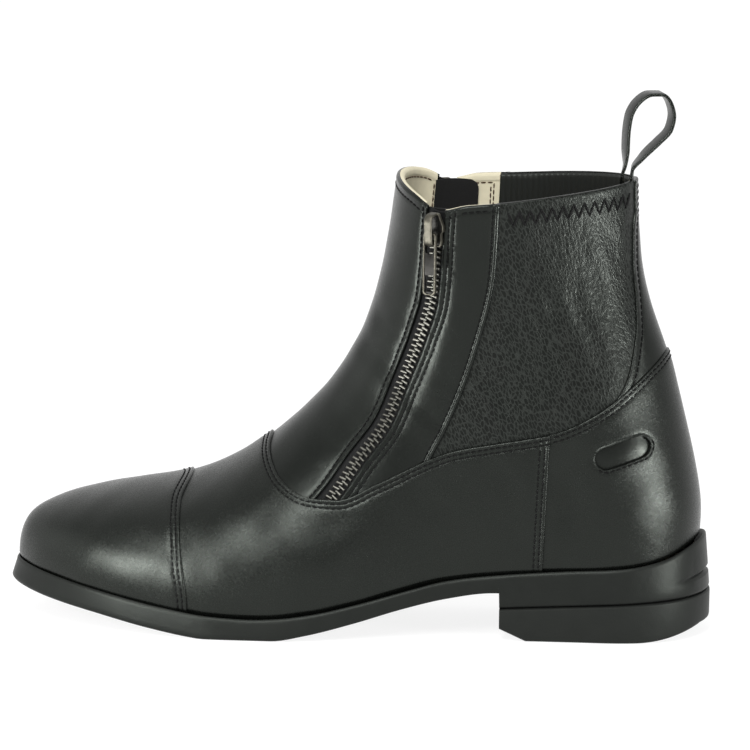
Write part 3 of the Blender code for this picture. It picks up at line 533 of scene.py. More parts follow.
def line_distance(table):
    """Side-view distance of every grid point from a line, positive on the left of its direction."""
    path = polyline(table, 140)
    place = GRID.reshape(-1, 3)[:, [0, 2]]
    best = np.full(len(place), 1e9)
    sign = np.ones(len(place))
    for start, run in zip(path[:-1], np.diff(path, axis=0)):
        off = place - start
        share = np.clip(off @ run / (run @ run), 0.0, 1.0)
        gap = off - share[:, None] * run
        far = np.hypot(gap[:, 0], gap[:, 1])
        near = far < best
        best[near] = far[near]
        turn = run[0] * off[:, 1] - run[1] * off[:, 0]
        sign[near] = np.where(turn[near] >= 0.0, 1.0, -1.0)
    return best * sign


def on_surface(values):
    """Turn a distance seen from the side into a distance along the skin, at the skin's unique points."""
    field = values.reshape(GRID.shape[:2])
    du = np.gradient(GRID, axis=0)
    dv = np.gradient(GRID, axis=1)
    e = (du * du).sum(axis=-1)
    f = (du * dv).sum(axis=-1)
    g = (dv * dv).sum(axis=-1)
    fu = np.gradient(field, axis=0)
    fv = np.gradient(field, axis=1)
    square = (g * fu ** 2 - 2 * f * fu * fv + e * fv ** 2) / np.maximum(e * g - f * f, 1e-9)
    slope = np.clip(np.sqrt(np.maximum(square, 0.0)), 0.35, 1.2)
    return (field / slope).reshape(-1)[SKIN.first]


def crease_height(points):
    """Height of the listed troughs and ridges, each with softer shoulders beside it."""
    total = np.zeros(len(points))
    place = points[:, [0, 2]]
    for fold in CREASES:
        start = np.array((fold.x0, fold.z0))
        run = np.array((fold.x1, fold.z1)) - start
        length = np.linalg.norm(run)
        off = place - start
        share = off @ run / length ** 2
        away = (run[0] * off[:, 1] - run[1] * off[:, 0]) / length
        bend = away + 1.2 * np.sin(5.0 * share + fold.x0)
        fade = smoothstep(share, -0.25, 0.25) * smoothstep(1.0 - share, -0.25, 0.25)
        middle = np.exp(-(bend / fold.half) ** 2)
        shoulder = np.exp(-((np.abs(bend) - 1.9 * fold.half) / fold.half) ** 2)
        total += fold.depth * fade * (middle - 0.4 * shoulder)
    return total


def unevenness(points):
    """Slow, slight waviness of hand-lasted leather."""
    x, y, z = points.T
    wave = np.sin(0.21 * x + 0.13 * z + 0.11 * y) + np.sin(0.17 * z - 0.24 * x + 0.19 * y + 1.3)
    wave += 0.7 * np.sin(0.33 * z + 0.29 * x + 2.1) + 0.7 * np.sin(0.41 * x - 0.16 * z - 0.23 * y)
    return 0.05 * wave


OUT_OF_REACH = -50.0
STRIP_FROM_X = 80.0
LINING_FRONT = 7.3
LINING_REAR = -3.6
GUARD_ROUND = 4.0
BADGE_X = 109.2
BADGE_Z = 79.8
BADGE_LONG = 6.6
BADGE_ROUND = 4.6
BADGE_TURN = math.radians(18.0)


def badge_distance():
    """How far inside the long oval cut-out of the counter, on the outer side only."""
    x, y, z = GRID.reshape(-1, 3).T
    p = (x - BADGE_X) * math.cos(BADGE_TURN) + (z - BADGE_Z) * math.sin(BADGE_TURN)
    q = (z - BADGE_Z) * math.cos(BADGE_TURN) - (x - BADGE_X) * math.sin(BADGE_TURN)
    inside = BADGE_ROUND - np.hypot(p - np.clip(p, -BADGE_LONG, BADGE_LONG), q)
    return np.where(y < 0.0, inside, OUT_OF_REACH)


def make_fields():
    """Distances that every panel is cut and shaped by."""
    x, y, z = GRID.reshape(-1, 3).T
    made = {
        "toe": on_surface(-line_distance(TOE_SEAM)),
        "below": on_surface(-line_distance(QUARTER_EDGE)),
        "counter": on_surface(line_distance(COUNTER_SEAM)),
        "behind": on_surface(line_distance(FACING_SEAM)),
        "zip": on_surface(line_distance(ZIP_LINE)),
        "collar": on_surface(column(COLLAR_LINE, "x", x, "z") - z),
        "rim": (z - column(SOLE, "x", x, "rim"))[SKIN.first],
        "badge": badge_distance()[SKIN.first],
        "side": (y - ridge(x))[SKIN.first],
        "height": z[SKIN.first],
    }
    strip = on_surface(column(BACK_STRIP, "z", z, "half") - np.abs(y))
    made["strip"] = np.where(SKIN.points[:, 0] > STRIP_FROM_X, strip, OUT_OF_REACH)
    slot = np.minimum(made["zip"] + LINING_FRONT, ZIP_REAR - made["zip"])
    made["slot"] = np.minimum(slot, 0.5 - made["below"])
    rear = np.minimum(GUARD_REAR - made["zip"], GUARD_ROUND)
    over = np.minimum(GUARD_TOP_Z - made["height"], GUARD_ROUND)
    made["guard"] = GUARD_ROUND - np.hypot(GUARD_ROUND - rear, GUARD_ROUND - over)
    made["fold"] = crease_height(SKIN.points)
    made["wave"] = unevenness(SKIN.points)
    return made


FIELDS = make_fields()
Sheet = namedtuple("Sheet", "base normal field faces edges rim")


def unpack(bm):
    """Points and faces of a mesh, which is then freed."""
    bm.verts.index_update()
    points = np.array([v.co for v in bm.verts])
    faces = [tuple(v.index for v in f.verts) for f in bm.faces]
    bm.free()
    return points, faces


def cut_at(bm, layers, name, level):
    """Split the faces along the line where a field has this level."""
    layer = layers[name]
    line = []
    for vert in bm.verts:
        if abs(vert[layer] - level) < SNAP:
            vert[layer] = level
            line.append(vert)
    crossing = []
    for edge in bm.edges:
        a, b = edge.verts
        if (a[layer] - level) * (b[layer] - level) < 0.0:
            crossing.append(edge)
    for edge in crossing:
        a, b = edge.verts
        share = (a[layer] - level) / (a[layer] - b[layer])
        mixed = {key: a[other] + (b[other] - a[other]) * share for key, other in layers.items()}
        fresh = bmesh.utils.edge_split(edge, a, share)[1]
        for key, other in layers.items():
            fresh[other] = mixed[key]
        fresh[layer] = level
        line.append(fresh)
    bmesh.ops.connect_verts(bm, verts=line)


def cut_sheet(keep, levels):
    """Part of the skin inside all the kept ranges, split along further level lines."""
    inside = np.ones(len(SKIN.points), bool)
    for name, level, way in keep:
        inside &= way * (FIELDS[name] - level) > 0.0
    used = SKIN.cells[inside[SKIN.cells].any(axis=1)]
    ids, compact = np.unique(used, return_inverse=True)
    compact = compact.reshape(used.shape)
    bm = bmesh.new()
    for name in FIELDS:
        bm.verts.layers.float.new(name)
    bm.verts.layers.float_vector.new("normal")
    layers = {name: bm.verts.layers.float[name] for name in FIELDS}
    layers["normal"] = bm.verts.layers.float_vector["normal"]
    verts = [bm.verts.new(SKIN.points[i]) for i in ids]
    for vert, i in zip(verts, ids):
        for name, values in FIELDS.items():
            vert[layers[name]] = values[i]
        vert[layers["normal"]] = SKIN.normals[i]
    for cell in compact:
        corners = list(dict.fromkeys(verts[i] for i in cell))
        if len(corners) > 2:
            bm.faces.new(corners)
    for name, level, way in keep:
        cut_at(bm, layers, name, level)
        layer = layers[name]
        outside = [f for f in bm.faces if way * sum(v[layer] - level for v in f.verts) < 0.0]
        bmesh.ops.delete(bm, geom=outside, context="FACES")
    for name, level in levels:
        cut_at(bm, layers, name, level)
    bm.verts.index_update()
    normal = unit(np.array([v[layers["normal"]] for v in bm.verts]))
    field = {name: np.array([v[layers[name]] for v in bm.verts]) for name in FIELDS}
    edges = np.array([(e.verts[0].index, e.verts[1].index) for e in bm.edges])
    open_loops = [e.link_loops[0] for e in bm.edges if e.is_boundary]
    rim = [(loop.vert.index, loop.link_loop_next.vert.index) for loop in open_loops]
    base, faces = unpack(bm)
    return Sheet(base, normal, field, faces, edges, rim)


def add_object(name, data):
    item = bpy.data.objects.new(name, data)
    bpy.context.scene.collection.objects.link(item)
    return item


def make_piece(name, points, faces, finish, slot, body="boot", sharp=40.0):
    """Mesh object in the shared frame from points in millimetres."""
    mesh = bpy.data.meshes.new(name)
    mesh.from_pydata([tuple(p) for p in np.asarray(points) * MM], [], [list(f) for f in faces])
    mesh.validate()
    mesh.shade_smooth()
    mesh.set_sharp_from_angle(angle=math.radians(sharp))
    mesh.materials.append(finish)
    item = add_object(name, mesh)
    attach(item, body)
    return item


def solid_from_sheet(name, sheet, top, low, finish, slot):
    """Closed piece between two heights above the skin."""
    count = len(sheet.base)
    upper = sheet.base + sheet.normal * top[:, None]
    lower = sheet.base + sheet.normal * low[:, None]
    faces = list(sheet.faces)
    faces += [[i + count for i in reversed(face)] for face in sheet.faces]
    faces += [(b, a, a + count, b + count) for a, b in sheet.rim]
    return make_piece(name, np.concatenate([upper, lower]), faces, finish, slot)


def farthest(near, start):
    """The last vertex that a walk over all links reaches, and the vertex before each one."""
    before = {start: None}
    queue = [start]
    for vert in queue:
        for other in near[vert]:
            if other not in before:
                before[other] = vert
                queue.append(other)
    return queue[-1], before


def chains(sheet, name, level):
    """Ordered runs of sheet vertices along a level line; a closed line is opened at one vertex."""
    on_line = np.abs(sheet.field[name] - level) < 1e-4
    near = {}
    for a, b in sheet.edges[on_line[sheet.edges].all(axis=1)]:
        near.setdefault(int(a), set()).add(int(b))
        near.setdefault(int(b), set()).add(int(a))
    left = set(near)
    runs = []
    while left:
        start = min(left)
        _, group = farthest(near, start)
        left -= set(group)
        if len(group) < 4:
            continue
        if all(len(near[v]) > 1 for v in group):
            other = next(iter(near[start]))
            near[start].discard(other)
            near[other].discard(start)
        end, _ = farthest(near, start)
        last, before = farthest(near, end)
        run = [last]
        while before[run[-1]] is not None:
            run.append(before[run[-1]])
        runs.append(np.array(run))
    return runs


def edge_drop(distance, radius):
    """Fall of a rounded edge at a distance inside it."""
    inside = np.clip(1.0 - distance / radius, 0.0, 1.0)
    return radius * (1.0 - np.sqrt(np.clip(1.0 - inside ** 2, 0.0, 1.0)))


REACH = 0.6


def evenly(points, normals, pitch, start=0.5):
    """Places at an even pitch along a run of points, with directions and normals there."""
    run = np.concatenate([[0.0], np.cumsum(np.linalg.norm(np.diff(points, axis=0), axis=1))])
    count = int(run[-1] / pitch)
    if count < 2:
        return (np.zeros((0, 3)),) * 3
    at = (np.arange(count) + start) * run[-1] / count

    def read(values, where):
        return np.stack([np.interp(where, run, values[:, k]) for k in range(3)], axis=1)

    place = read(points, at)
    way = unit(read(points, at + REACH) - read(points, at - REACH))
    return place, way, square_to(read(normals, at), way)


def ring_faces(rings, size, flip=False):
    """Faces between closed rings of points that follow each other."""
    faces = []
    for ring in range(rings - 1):
        for i in range(size):
            a = ring * size + i
            b = ring * size + (i + 1) % size
            faces.append((a, a + size, b + size, b) if flip else (a, b, b + size, a + size))
    return faces


def capsule(length, thread, arch):
    """One stitch: a short thread along X that rises in the middle and dips at its ends."""
    rings = 5
    sides = 6
    points = []
    for i in range(rings):
        s = 2.0 * i / (rings - 1) - 1.0
        radius = 0.5 * thread * math.sqrt(1.0 - 0.8 * s * s)
        rise = arch * (1.0 - s * s)
        for k in range(sides):
            turn = 2.0 * math.pi * k / sides
            points.append((0.5 * length * s, radius * math.cos(turn), radius * math.sin(turn) + rise))
    faces = ring_faces(rings, sides)
    faces.append(tuple(reversed(range(sides))))
    faces.append(tuple(range((rings - 1) * sides, rings * sides)))
    return np.array(points), faces


def scatter(shape, places, ways, ups):
    """Copies of a small shape at many places, as one list of points and faces."""
    local, faces = shape
    across = np.cross(ups, ways)
    points = (places[:, None] + local[None, :, :1] * ways[:, None] + local[None, :, 1:2] * across[:, None]
              + local[None, :, 2:] * ups[:, None])
    count = len(local)
    joined = [tuple(i + n * count for i in face) for n in range(len(places)) for face in faces]
    return points.reshape(-1, 3), joined


def join_shapes(groups):
    """Several lists of points and faces as one."""
    points = []
    faces = []
    start = 0
    for some, corners in groups:
        points.append(some)
        faces += [tuple(i + start for i in face) for face in corners]
        start += len(some)
    return np.concatenate(points), faces


# Materials


BLACK_TINT = (0.92, 1.0, 0.91)
WRINKLE_STRETCH = (1.0, 1.0, 2.4)
WRINKLE_TURN = (0.0, -26.0, 0.0)
FOLD_SIZE = 3.2


def new_finish(name, colour, roughness, metallic=0.0, specular=0.5, tint=(1.0, 1.0, 1.0)):
    finish = bpy.data.materials.new(name)
    finish.use_nodes = True
    shader = finish.node_tree.nodes["Principled BSDF"]
    shader.inputs["Base Color"].default_value = (*colour, 1.0)
    shader.inputs["Roughness"].default_value = roughness
    shader.inputs["Metallic"].default_value = metallic
    shader.inputs["Specular IOR Level"].default_value = specular
    shader.inputs["Specular Tint"].default_value = (*tint, 1.0)
    return finish, finish.node_tree, shader


def new_node(tree, kind, values, links):
    """Shader node with constants and links given by the names of its sockets."""
    node = tree.nodes.new("ShaderNode" + kind)
    for name, value in values.items():
        node.inputs[name].default_value = value
    for name, socket in links.items():
        tree.links.new(socket, node.inputs[name])
    return node


def mapped(tree, stretch=(1.0, 1.0, 1.0), turn=(0.0, 0.0, 0.0)):
    """Object coordinates, turned, with a pattern drawn out by the stretch along the turned axes."""
    where = new_node(tree, "TexCoord", {}, {})
    turned = tuple(math.radians(a) for a in turn)
    values = {"Scale": stretch, "Rotation": turned}
    node = new_node(tree, "Mapping", values, {"Vector": where.outputs["Object"]})
    node.vector_type = "TEXTURE"
    return node.outputs["Vector"]


def noise(tree, vector, size, detail=2.0, roughness=0.5):
    """Noise with features of a size in millimetres."""
    values = {"Scale": 1.0 / (size * MM), "Detail": detail, "Roughness": roughness}
    return new_node(tree, "TexNoise", values, {"Vector": vector}).outputs["Fac"]


def cell_walls(tree, vector, size):
    """Distance to the borders of irregular cells of a size in millimetres."""
    node = new_node(tree, "TexVoronoi", {"Scale": 1.0 / (size * MM)}, {"Vector": vector})
    node.feature = "DISTANCE_TO_EDGE"
    return node.outputs["Distance"]


def ranged(tree, value, low, high, to_low, to_high):
    values = {"From Min": low, "From Max": high, "To Min": to_low, "To Max": to_high}
    return new_node(tree, "MapRange", values, {"Value": value}).outputs["Result"]


def mixed_colour(tree, share, dark, light):
    node = tree.nodes.new("ShaderNodeMix")
    node.data_type = "RGBA"
    node.inputs["A"].default_value = (*dark, 1.0)
    node.inputs["B"].default_value = (*light, 1.0)
    tree.links.new(share, node.inputs["Factor"])
    return node.outputs["Result"]


def two_tone(tree, shader, share, colour, dark, light):
    """Base colour that runs between two strengths of a colour."""
    tones = [tuple(strength * c for c in colour) for strength in (dark, light)]
    tree.links.new(mixed_colour(tree, share, *tones), shader.inputs["Base Color"])


def bump(tree, shader, height, depth, below=None):
    """Bump of a depth in millimetres, on top of an earlier one."""
    links = {"Height": height}
    if below is not None:
        links["Normal"] = below
    node = new_node(tree, "Bump", {"Distance": depth * MM, "Strength": 1.0}, links)
    tree.links.new(node.outputs["Normal"], shader.inputs["Normal"])
    return node.outputs["Normal"]


def leather(name, colour, roughness, pebble, depth, specular=0.3, wrinkle=0.0, tint=BLACK_TINT):
    """Grained leather: fine cells with hairline valleys, pores, and an uneven dressing.

    A wrinkled leather has a grain drawn out along a slant, with painted highlight lines round its cells in
    its base colour, and soft folds of that depth in it.
    """
    finish, tree, shader = new_finish(name, colour, roughness, specular=specular, tint=tint)
    plain = mapped(tree)
    grain = plain
    below = None
    if wrinkle:
        grain = mapped(tree, WRINKLE_STRETCH, WRINKLE_TURN)
        folds = ranged(tree, cell_walls(tree, grain, FOLD_SIZE), 0.0, 0.4, 0.0, 1.0)
        below = bump(tree, shader, folds, wrinkle)
    walls = ranged(tree, cell_walls(tree, grain, pebble), 0.0, 0.22, 0.0, 1.0)
    first = bump(tree, shader, walls, depth, below=below)
    pores = noise(tree, plain, pebble * 0.45, 2.0, 0.6)
    bump(tree, shader, pores, depth * 0.9, below=first)
    shade = noise(tree, plain, 14.0, 3.0, 0.6)
    dark, light = 0.7, 1.35
    if wrinkle:
        # Painted highlight: the cell borders of wrinkled leather are painted light and the cell middles dark
        # in the base colour
        shade = ranged(tree, cell_walls(tree, grain, pebble), 0.02, 0.17, 1.0, 0.0)
        dark, light = 0.3, 1.9
    two_tone(tree, shader, shade, colour, dark, light)
    patchy = noise(tree, plain, 1.2, 2.0, 0.6)
    gloss = ranged(tree, patchy, 0.3, 0.7, roughness - 0.025, roughness + 0.035)
    tree.links.new(gloss, shader.inputs["Roughness"])
    return finish


def rubber(name, colour, roughness):
    finish, tree, shader = new_finish(name, colour, roughness, specular=0.18, tint=BLACK_TINT)
    plain = mapped(tree)
    first = bump(tree, shader, noise(tree, plain, 0.5, 3.0, 0.6), 0.05)
    bump(tree, shader, noise(tree, plain, 9.0, 2.0), 0.25, below=first)
    cloud = noise(tree, plain, 11.0, 3.0, 0.6)
    two_tone(tree, shader, cloud, colour, 0.75, 1.3)
    return finish


def cloth(name, colour, roughness, size, depth, sheen=0.0):
    """Woven or felted cloth with small threads."""
    finish, tree, shader = new_finish(name, colour, roughness, specular=0.2)
    shader.inputs["Sheen Weight"].default_value = sheen
    weave = mapped(tree)
    bump(tree, shader, noise(tree, weave, size, 2.0, 0.5), depth)
    cloud = noise(tree, weave, size * 3.0, 2.0)
    two_tone(tree, shader, cloud, colour, 0.75, 1.25)
    return finish


def ribbed(name, colour, roughness, pitch, depth):
    """Elastic webbing with upright ribs."""
    finish, tree, shader = new_finish(name, colour, roughness, specular=0.35, tint=BLACK_TINT)
    values = {"Scale": 2.0 * math.pi / (20.0 * pitch * MM), "Distortion": 0.6, "Detail": 1.0}
    node = new_node(tree, "TexWave", values, {"Vector": mapped(tree)})
    node.bands_direction = "X"
    bump(tree, shader, node.outputs["Fac"], depth)
    return finish


def metal(name, colour, roughness):
    finish, tree, shader = new_finish(name, colour, roughness, metallic=1.0)
    plain = mapped(tree)
    worn = noise(tree, plain, 1.6, 3.0, 0.6)
    two_tone(tree, shader, ranged(tree, worn, 0.35, 0.65, 0.0, 1.0), colour, 0.7, 1.0)
    bump(tree, shader, worn, 0.02)
    return finish


CALF = leather("calf_leather", (0.0022, 0.0025, 0.0022), 0.27, 0.6, 0.022, 0.295)
SHAFT_LEATHER = leather("shaft_leather", (0.0022, 0.0025, 0.0022), 0.24, 0.6, 0.016, 0.265)
# Stretch leather carries painted highlight lines round its grain cells
STRETCH = leather("stretch_leather", (0.0068, 0.0075, 0.0068), 0.30, 1.2, 0.05, 0.18, 0.08)
THREAD_BLACK, _, _ = new_finish("black_thread", (0.002, 0.002, 0.002), 0.6, specular=0.12)
THREAD_BROWN, _, _ = new_finish("brown_thread", (0.055, 0.03, 0.016), 0.7, specular=0.2)
SOLE_RUBBER = rubber("sole_rubber", (0.005, 0.0054, 0.005), 0.42)
HEEL_RUBBER = rubber("heel_rubber", (0.006, 0.0064, 0.006), 0.52)
LINING = leather("lining_leather", (0.57, 0.525, 0.385), 0.6, 0.8, 0.02, 0.25, tint=(1.0, 1.0, 1.0))
ELASTIC = ribbed("elastic", (0.006, 0.0062, 0.006), 0.5, 2.3, 0.16)
TAPE = cloth("zip_tape", (0.003, 0.0032, 0.0032), 0.75, 0.4, 0.08)
GUARD_CLOTH = cloth("guard_cloth", (0.008, 0.008, 0.008), 0.9, 0.25, 0.06, sheen=0.02)
NICKEL = metal("zip_metal", (0.115, 0.109, 0.088), 0.47)
# Nickel painted darker as painted shade, for metal faces that show a dark reflection
NICKEL_PAINTED_SHADE = metal("zip_metal_painted_shade", (0.022, 0.0215, 0.020), 0.4)
TOOTH_METAL = metal("tooth_metal", (0.125, 0.123, 0.108), 0.42)

STITCHES = []
BROWN_STITCHES = []
SEAM = capsule(STITCH_LENGTH, THREAD, STITCH_LIFT)


def sew(sheet, field, level, limits, height, store, shape=SEAM, inside=False):
    """Stitches along a level line at a height over the skin, kept inside limits of other fields."""
    for run in chains(sheet, field, level):
        good = np.ones(len(run), bool)
        for other, bound, way in limits:
            good &= way * (sheet.field[other][run] - bound) > 0.0
        for part in np.split(np.arange(len(run)), np.flatnonzero(np.diff(good.astype(int))) + 1):
            if len(part) > 3 and good[part[0]]:
                at = run[part]
                points = sheet.base[at] + sheet.normal[at] * height[at][:, None]
                normals = -sheet.normal[at] if inside else sheet.normal[at]
                store.append(scatter(shape, *evenly(points, normals, STITCH_PITCH)))


def panel(name, keep, thickness, edges, rows, finish, slot, nodes=(), shape=None, levels=(), turned=0.8):
    """Leather piece with rounded free edges and stitch rows pulled into it.

    An edge is (field, level, way, radius, swell): the piece lies on the side of the level that way points
    to, is rounded over there by the radius, and stands proud by the swell where it laps over another piece.
    A row is (field, level, limits) with limits as (field, level, way) that the stitches stay inside.
    At the collar the leather is turned in over the top of the lining by the turned depth.
    """
    cuts = list(levels)
    for field, level, way, radius, swell in edges:
        cuts += [(field, level + way * radius * share) for share in EDGE_CUTS]
    for field, level, limits in rows:
        cuts += [(field, level - GROOVE_HALF), (field, level), (field, level + GROOVE_HALF)]
    sheet = cut_sheet(keep, cuts)
    at = sheet.field
    top = thickness + at["wave"]
    for field, level, way, radius, swell in edges:
        distance = way * (at[field] - level)
        top = top + swell * np.exp(-np.clip(distance, 0.0, None) / SWELL_FADE) - edge_drop(distance, radius)
    for field, level, limits in rows:
        top = top - GROOVE_DEPTH * np.exp(-((at[field] - level) / GROOVE_HALF) ** 2)
    if shape is not None:
        top = top + shape(sheet)
    low = -PANEL_UNDER - turned * smoothstep(-at["collar"], *TURN_IN)
    item = solid_from_sheet(name, sheet, top, low, finish, slot)
    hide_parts(*nodes)
    for field, level, limits in rows:
        sew(sheet, field, level, limits, top + STITCH_LIFT, STITCHES)
    return sheet, top


def tuck(sheet):
    """Leather turns in under the sole's edge and carries its folds."""
    return sheet.field["fold"] - TUCK_DEPTH * smoothstep(-sheet.field["rim"], *TUCK_RANGE)


ABOVE_SOLE = ("rim", 1.2, 1)
UNDER_COLLAR = ("collar", 1.2, 1)
UPRIGHT_SEAM = (UNDER_COLLAR, ("below", 0.2, -1))
RIM_LEVELS = (("rim", -1.0), ("rim", 0.0), ("rim", 1.0), ("rim", 2.0))


def make_toe_cap():
    panel(
        "toe_cap_leather", [("toe", 0.0, 1), ("rim", -2.0, 1)], TOE_CAP_OUT,
        [("toe", 0.0, 1, 0.7, 0.1)],
        [("toe", 1.9, [ABOVE_SOLE]), ("toe", 3.9, [ABOVE_SOLE])],
        CALF, "calf_leather", ["toe_cap"], shape=tuck, levels=RIM_LEVELS,
    )


def make_vamp():
    upright = [ABOVE_SOLE, ("below", 4.6, 1)]
    panel(
        "vamp_leather",
        [("toe", 0.8, -1), ("below", 0.0, 1), ("counter", 0.0, -1), ("rim", -2.0, 1)], VAMP_OUT,
        [("below", 0.0, 1, 0.7, 0.15), ("counter", 0.0, -1, 0.6, 0.6)],
        [("below", 1.8, []), ("below", 3.6, []), ("counter", -1.9, upright), ("counter", -3.9, upright)],
        CALF, "calf_leather", ["vamp"], shape=tuck, levels=RIM_LEVELS,
    )


def make_counter():
    def shape(sheet):
        return tuck(sheet) - 0.3 * smoothstep(-sheet.field["counter"], -4.0, 0.0)

    panel(
        "counter_leather",
        [("counter", -0.8, 1), ("below", 0.0, 1), ("rim", -2.0, 1), ("badge", 0.0, -1)], COUNTER_OUT,
        [("below", 0.0, 1, 0.7, 0.3), ("badge", 0.0, -1, 0.5, 0.6)],
        [("below", 1.5, [("counter", 0.4, 1)]), ("below", 3.4, [("counter", 0.4, 1)]), ("badge", -1.1, [])],
        CALF, "calf_leather", ["heel_counter"], shape=shape, levels=RIM_LEVELS,
    )

    def dish(sheet):
        return 0.3 * smoothstep(sheet.field["badge"], 0.5, 3.0)

    panel(
        "counter_badge", [("badge", -0.8, 1)], 0.2, [], [], SHAFT_LEATHER, "calf_leather", shape=dish,
    )


def make_front_panel():
    def shape(sheet):
        return sheet.field["fold"]

    panel(
        "front_leather", [("zip", -ZIP_FRONT, -1), ("below", 0.8, -1), ("collar", 0.0, 1)], PANEL_OUT,
        [("zip", -ZIP_FRONT, -1, 0.6, 0.25), ("collar", 0.0, 1, 1.2, 0.3)],
        [("zip", -ZIP_FRONT - 2.4, UPRIGHT_SEAM),
         ("collar", 4.0, [("zip", -ZIP_FRONT - 3.2, -1)])],
        SHAFT_LEATHER, "calf_leather", ["front_panel"], shape=shape, turned=0.0,
    )


RIDGE_HALF = 0.9
RIDGE_HIGH = 0.8
RIDGE_CUTS = (0.1, 0.3, 0.6, 1.0, 1.4, 1.7, 1.9, 2.0)


def make_facing(side, tag):
    def shape(sheet):
        across = -sheet.field["behind"] / RIDGE_HALF - 1.0
        return sheet.field["fold"] + RIDGE_HIGH * np.sqrt(np.clip(1.0 - across ** 2, 0.0, None))

    panel(
        "facing_leather_" + tag,
        [("zip", ZIP_REAR, 1), ("behind", 0.0, -1), ("below", 0.8, -1), ("collar", 0.0, 1),
         ("side", 0.0, side)],
        PANEL_OUT,
        [("zip", ZIP_REAR, 1, 0.6, 0.2), ("behind", 0.0, -1, 0.3, 0.0), ("collar", 0.0, 1, 1.0, 0.2)],
        [("zip", ZIP_REAR + 2.2, UPRIGHT_SEAM), ("zip", ZIP_REAR + 4.2, UPRIGHT_SEAM),
         ("behind", -2.5, UPRIGHT_SEAM),
         ("collar", 2.8, [("zip", ZIP_REAR + 5.0, 1), ("behind", -3.2, -1)])],
        SHAFT_LEATHER, "calf_leather", ["facing_" + tag], shape=shape,
        levels=[("behind", -share * RIDGE_HALF) for share in RIDGE_CUTS], turned=0.0,
    )


ZIGZAG = (4.3, 10.0)
ZIGZAG_PITCH = 4.4
ZIGZAG_THREAD = 1.0


def make_stretch(side, tag):
    def shape(sheet):
        at = sheet.field
        inside = np.minimum(np.minimum(at["behind"], -at["strip"]), np.minimum(-at["below"], at["collar"]))
        return at["fold"] + 0.35 * smoothstep(inside, 0.0, 9.0)

    sheet, top = panel(
        "stretch_leather_" + tag,
        [("behind", -0.8, 1), ("strip", 0.8, -1), ("below", 0.8, -1), ("collar", 0.0, 1),
         ("side", 0.0, side)],
        0.5, [("collar", 0.0, 1, 0.9, 0.15)], [], STRETCH, "stretch_leather", shape=shape,
        levels=[("collar", ZIGZAG[0]), ("collar", ZIGZAG[1]), ("behind", 0.0), ("strip", 0.0)],
    )
    rows = []
    for level in ZIGZAG:
        run = max(chains(sheet, "collar", level), key=len)
        if sheet.base[run[0]][0] > sheet.base[run[-1]][0]:
            run = run[::-1]
        run = run[(sheet.field["behind"][run] > 0.8) & (sheet.field["strip"][run] < -0.8)]
        rows.append((sheet.base[run] + sheet.normal[run] * (top[run] + 0.15)[:, None], sheet.normal[run]))
    high, _, up = evenly(*rows[0], ZIGZAG_PITCH)
    count = len(high)
    between = (high[:-1, 0] + high[1:, 0]) / 2
    ends = np.empty((2 * count - 1, 3))
    ends[0::2] = high
    ends[1::2] = np.stack([np.interp(between, rows[1][0][:, 0], rows[1][0][:, k]) for k in range(3)], axis=1)
    run = np.diff(ends, axis=0)
    ways = unit(run)
    ups = square_to(np.repeat(up, 2, axis=0)[1:-1], ways)
    length = float(np.linalg.norm(run, axis=1).mean())
    thread = capsule(length + 0.2, ZIGZAG_THREAD, 0.05)
    STITCHES.append(scatter(thread, (ends[:-1] + ends[1:]) / 2, ways, ups))


def make_back_strip():
    panel(
        "back_leather", [("strip", 0.0, 1), ("below", 0.8, -1), ("collar", 0.0, 1)], PANEL_OUT,
        [("strip", 0.0, 1, 0.7, 0.45), ("collar", 0.0, 1, 1.0, 0.2)],
        [("strip", 3.2, UPRIGHT_SEAM)],
        SHAFT_LEATHER, "calf_leather", ["back_strip"],
    )


LINING_OUT = -0.35


def make_lining():
    """Inside of the upper: beige leather, with the elastic behind the stretch panels left black."""
    def wall(name, keep, finish, slot, nodes=(), rows=(), brim=0.4):
        levels = [("collar", brim + level) for level in (0.2, 0.6, 1.1)]
        levels += [("collar", level) for level in (3.0, 3.4, 3.8)]
        sheet = cut_sheet(keep, levels + [(field, level) for field, level, _ in rows])
        collar = sheet.field["collar"]
        inner = -WALL + edge_drop(collar - brim, 1.3)
        if rows:
            inner = inner - 0.35 * smoothstep(-collar, -3.6, -3.0) * smoothstep(collar, 0.0, 1.6)
        outer = np.full(len(inner), LINING_OUT)
        item = solid_from_sheet(name, sheet, outer, np.minimum(inner, outer - 0.2), finish, slot)
        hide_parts(*nodes)
        for field, level, limits in rows:
            sew(sheet, field, level, limits, inner - 0.1, BROWN_STITCHES, inside=True)

    top = ("collar", 0.4, 1)
    rows = [
        ("collar", 3.9, [("zip", -LINING_FRONT - 2.0, -1)]),
        ("zip", -LINING_FRONT - 1.6, [("collar", 4.0, 1), ("below", 0.0, -1)]),
        ("collar", 4.0, [("zip", ZIP_REAR + 1.0, 1), ("behind", LINING_REAR - 2.4, -1)]),
        ("behind", LINING_REAR - 2.4, [("collar", 4.0, 1), ("below", 0.0, -1)]),
        ("behind", LINING_REAR - 3.7, [("collar", 5.2, 1), ("below", 0.0, -1)]),
    ]
    wall("lining_front", [("slot", 0.0, -1), ("behind", LINING_REAR, -1)],
         LINING, "lining", ["upper"], rows, 0.0)
    wall("lining_elastic", [("behind", LINING_REAR, 1), ("strip", 0.0, -1), top, ("below", 0.0, -1)],
         ELASTIC, "stretch_leather")
    wall("lining_back", [("strip", 0.0, 1), top, ("below", 0.0, -1)], LINING, "lining")
    wall("lining_heel", [("behind", LINING_REAR, 1), ("below", 0.0, 1)], LINING, "lining")


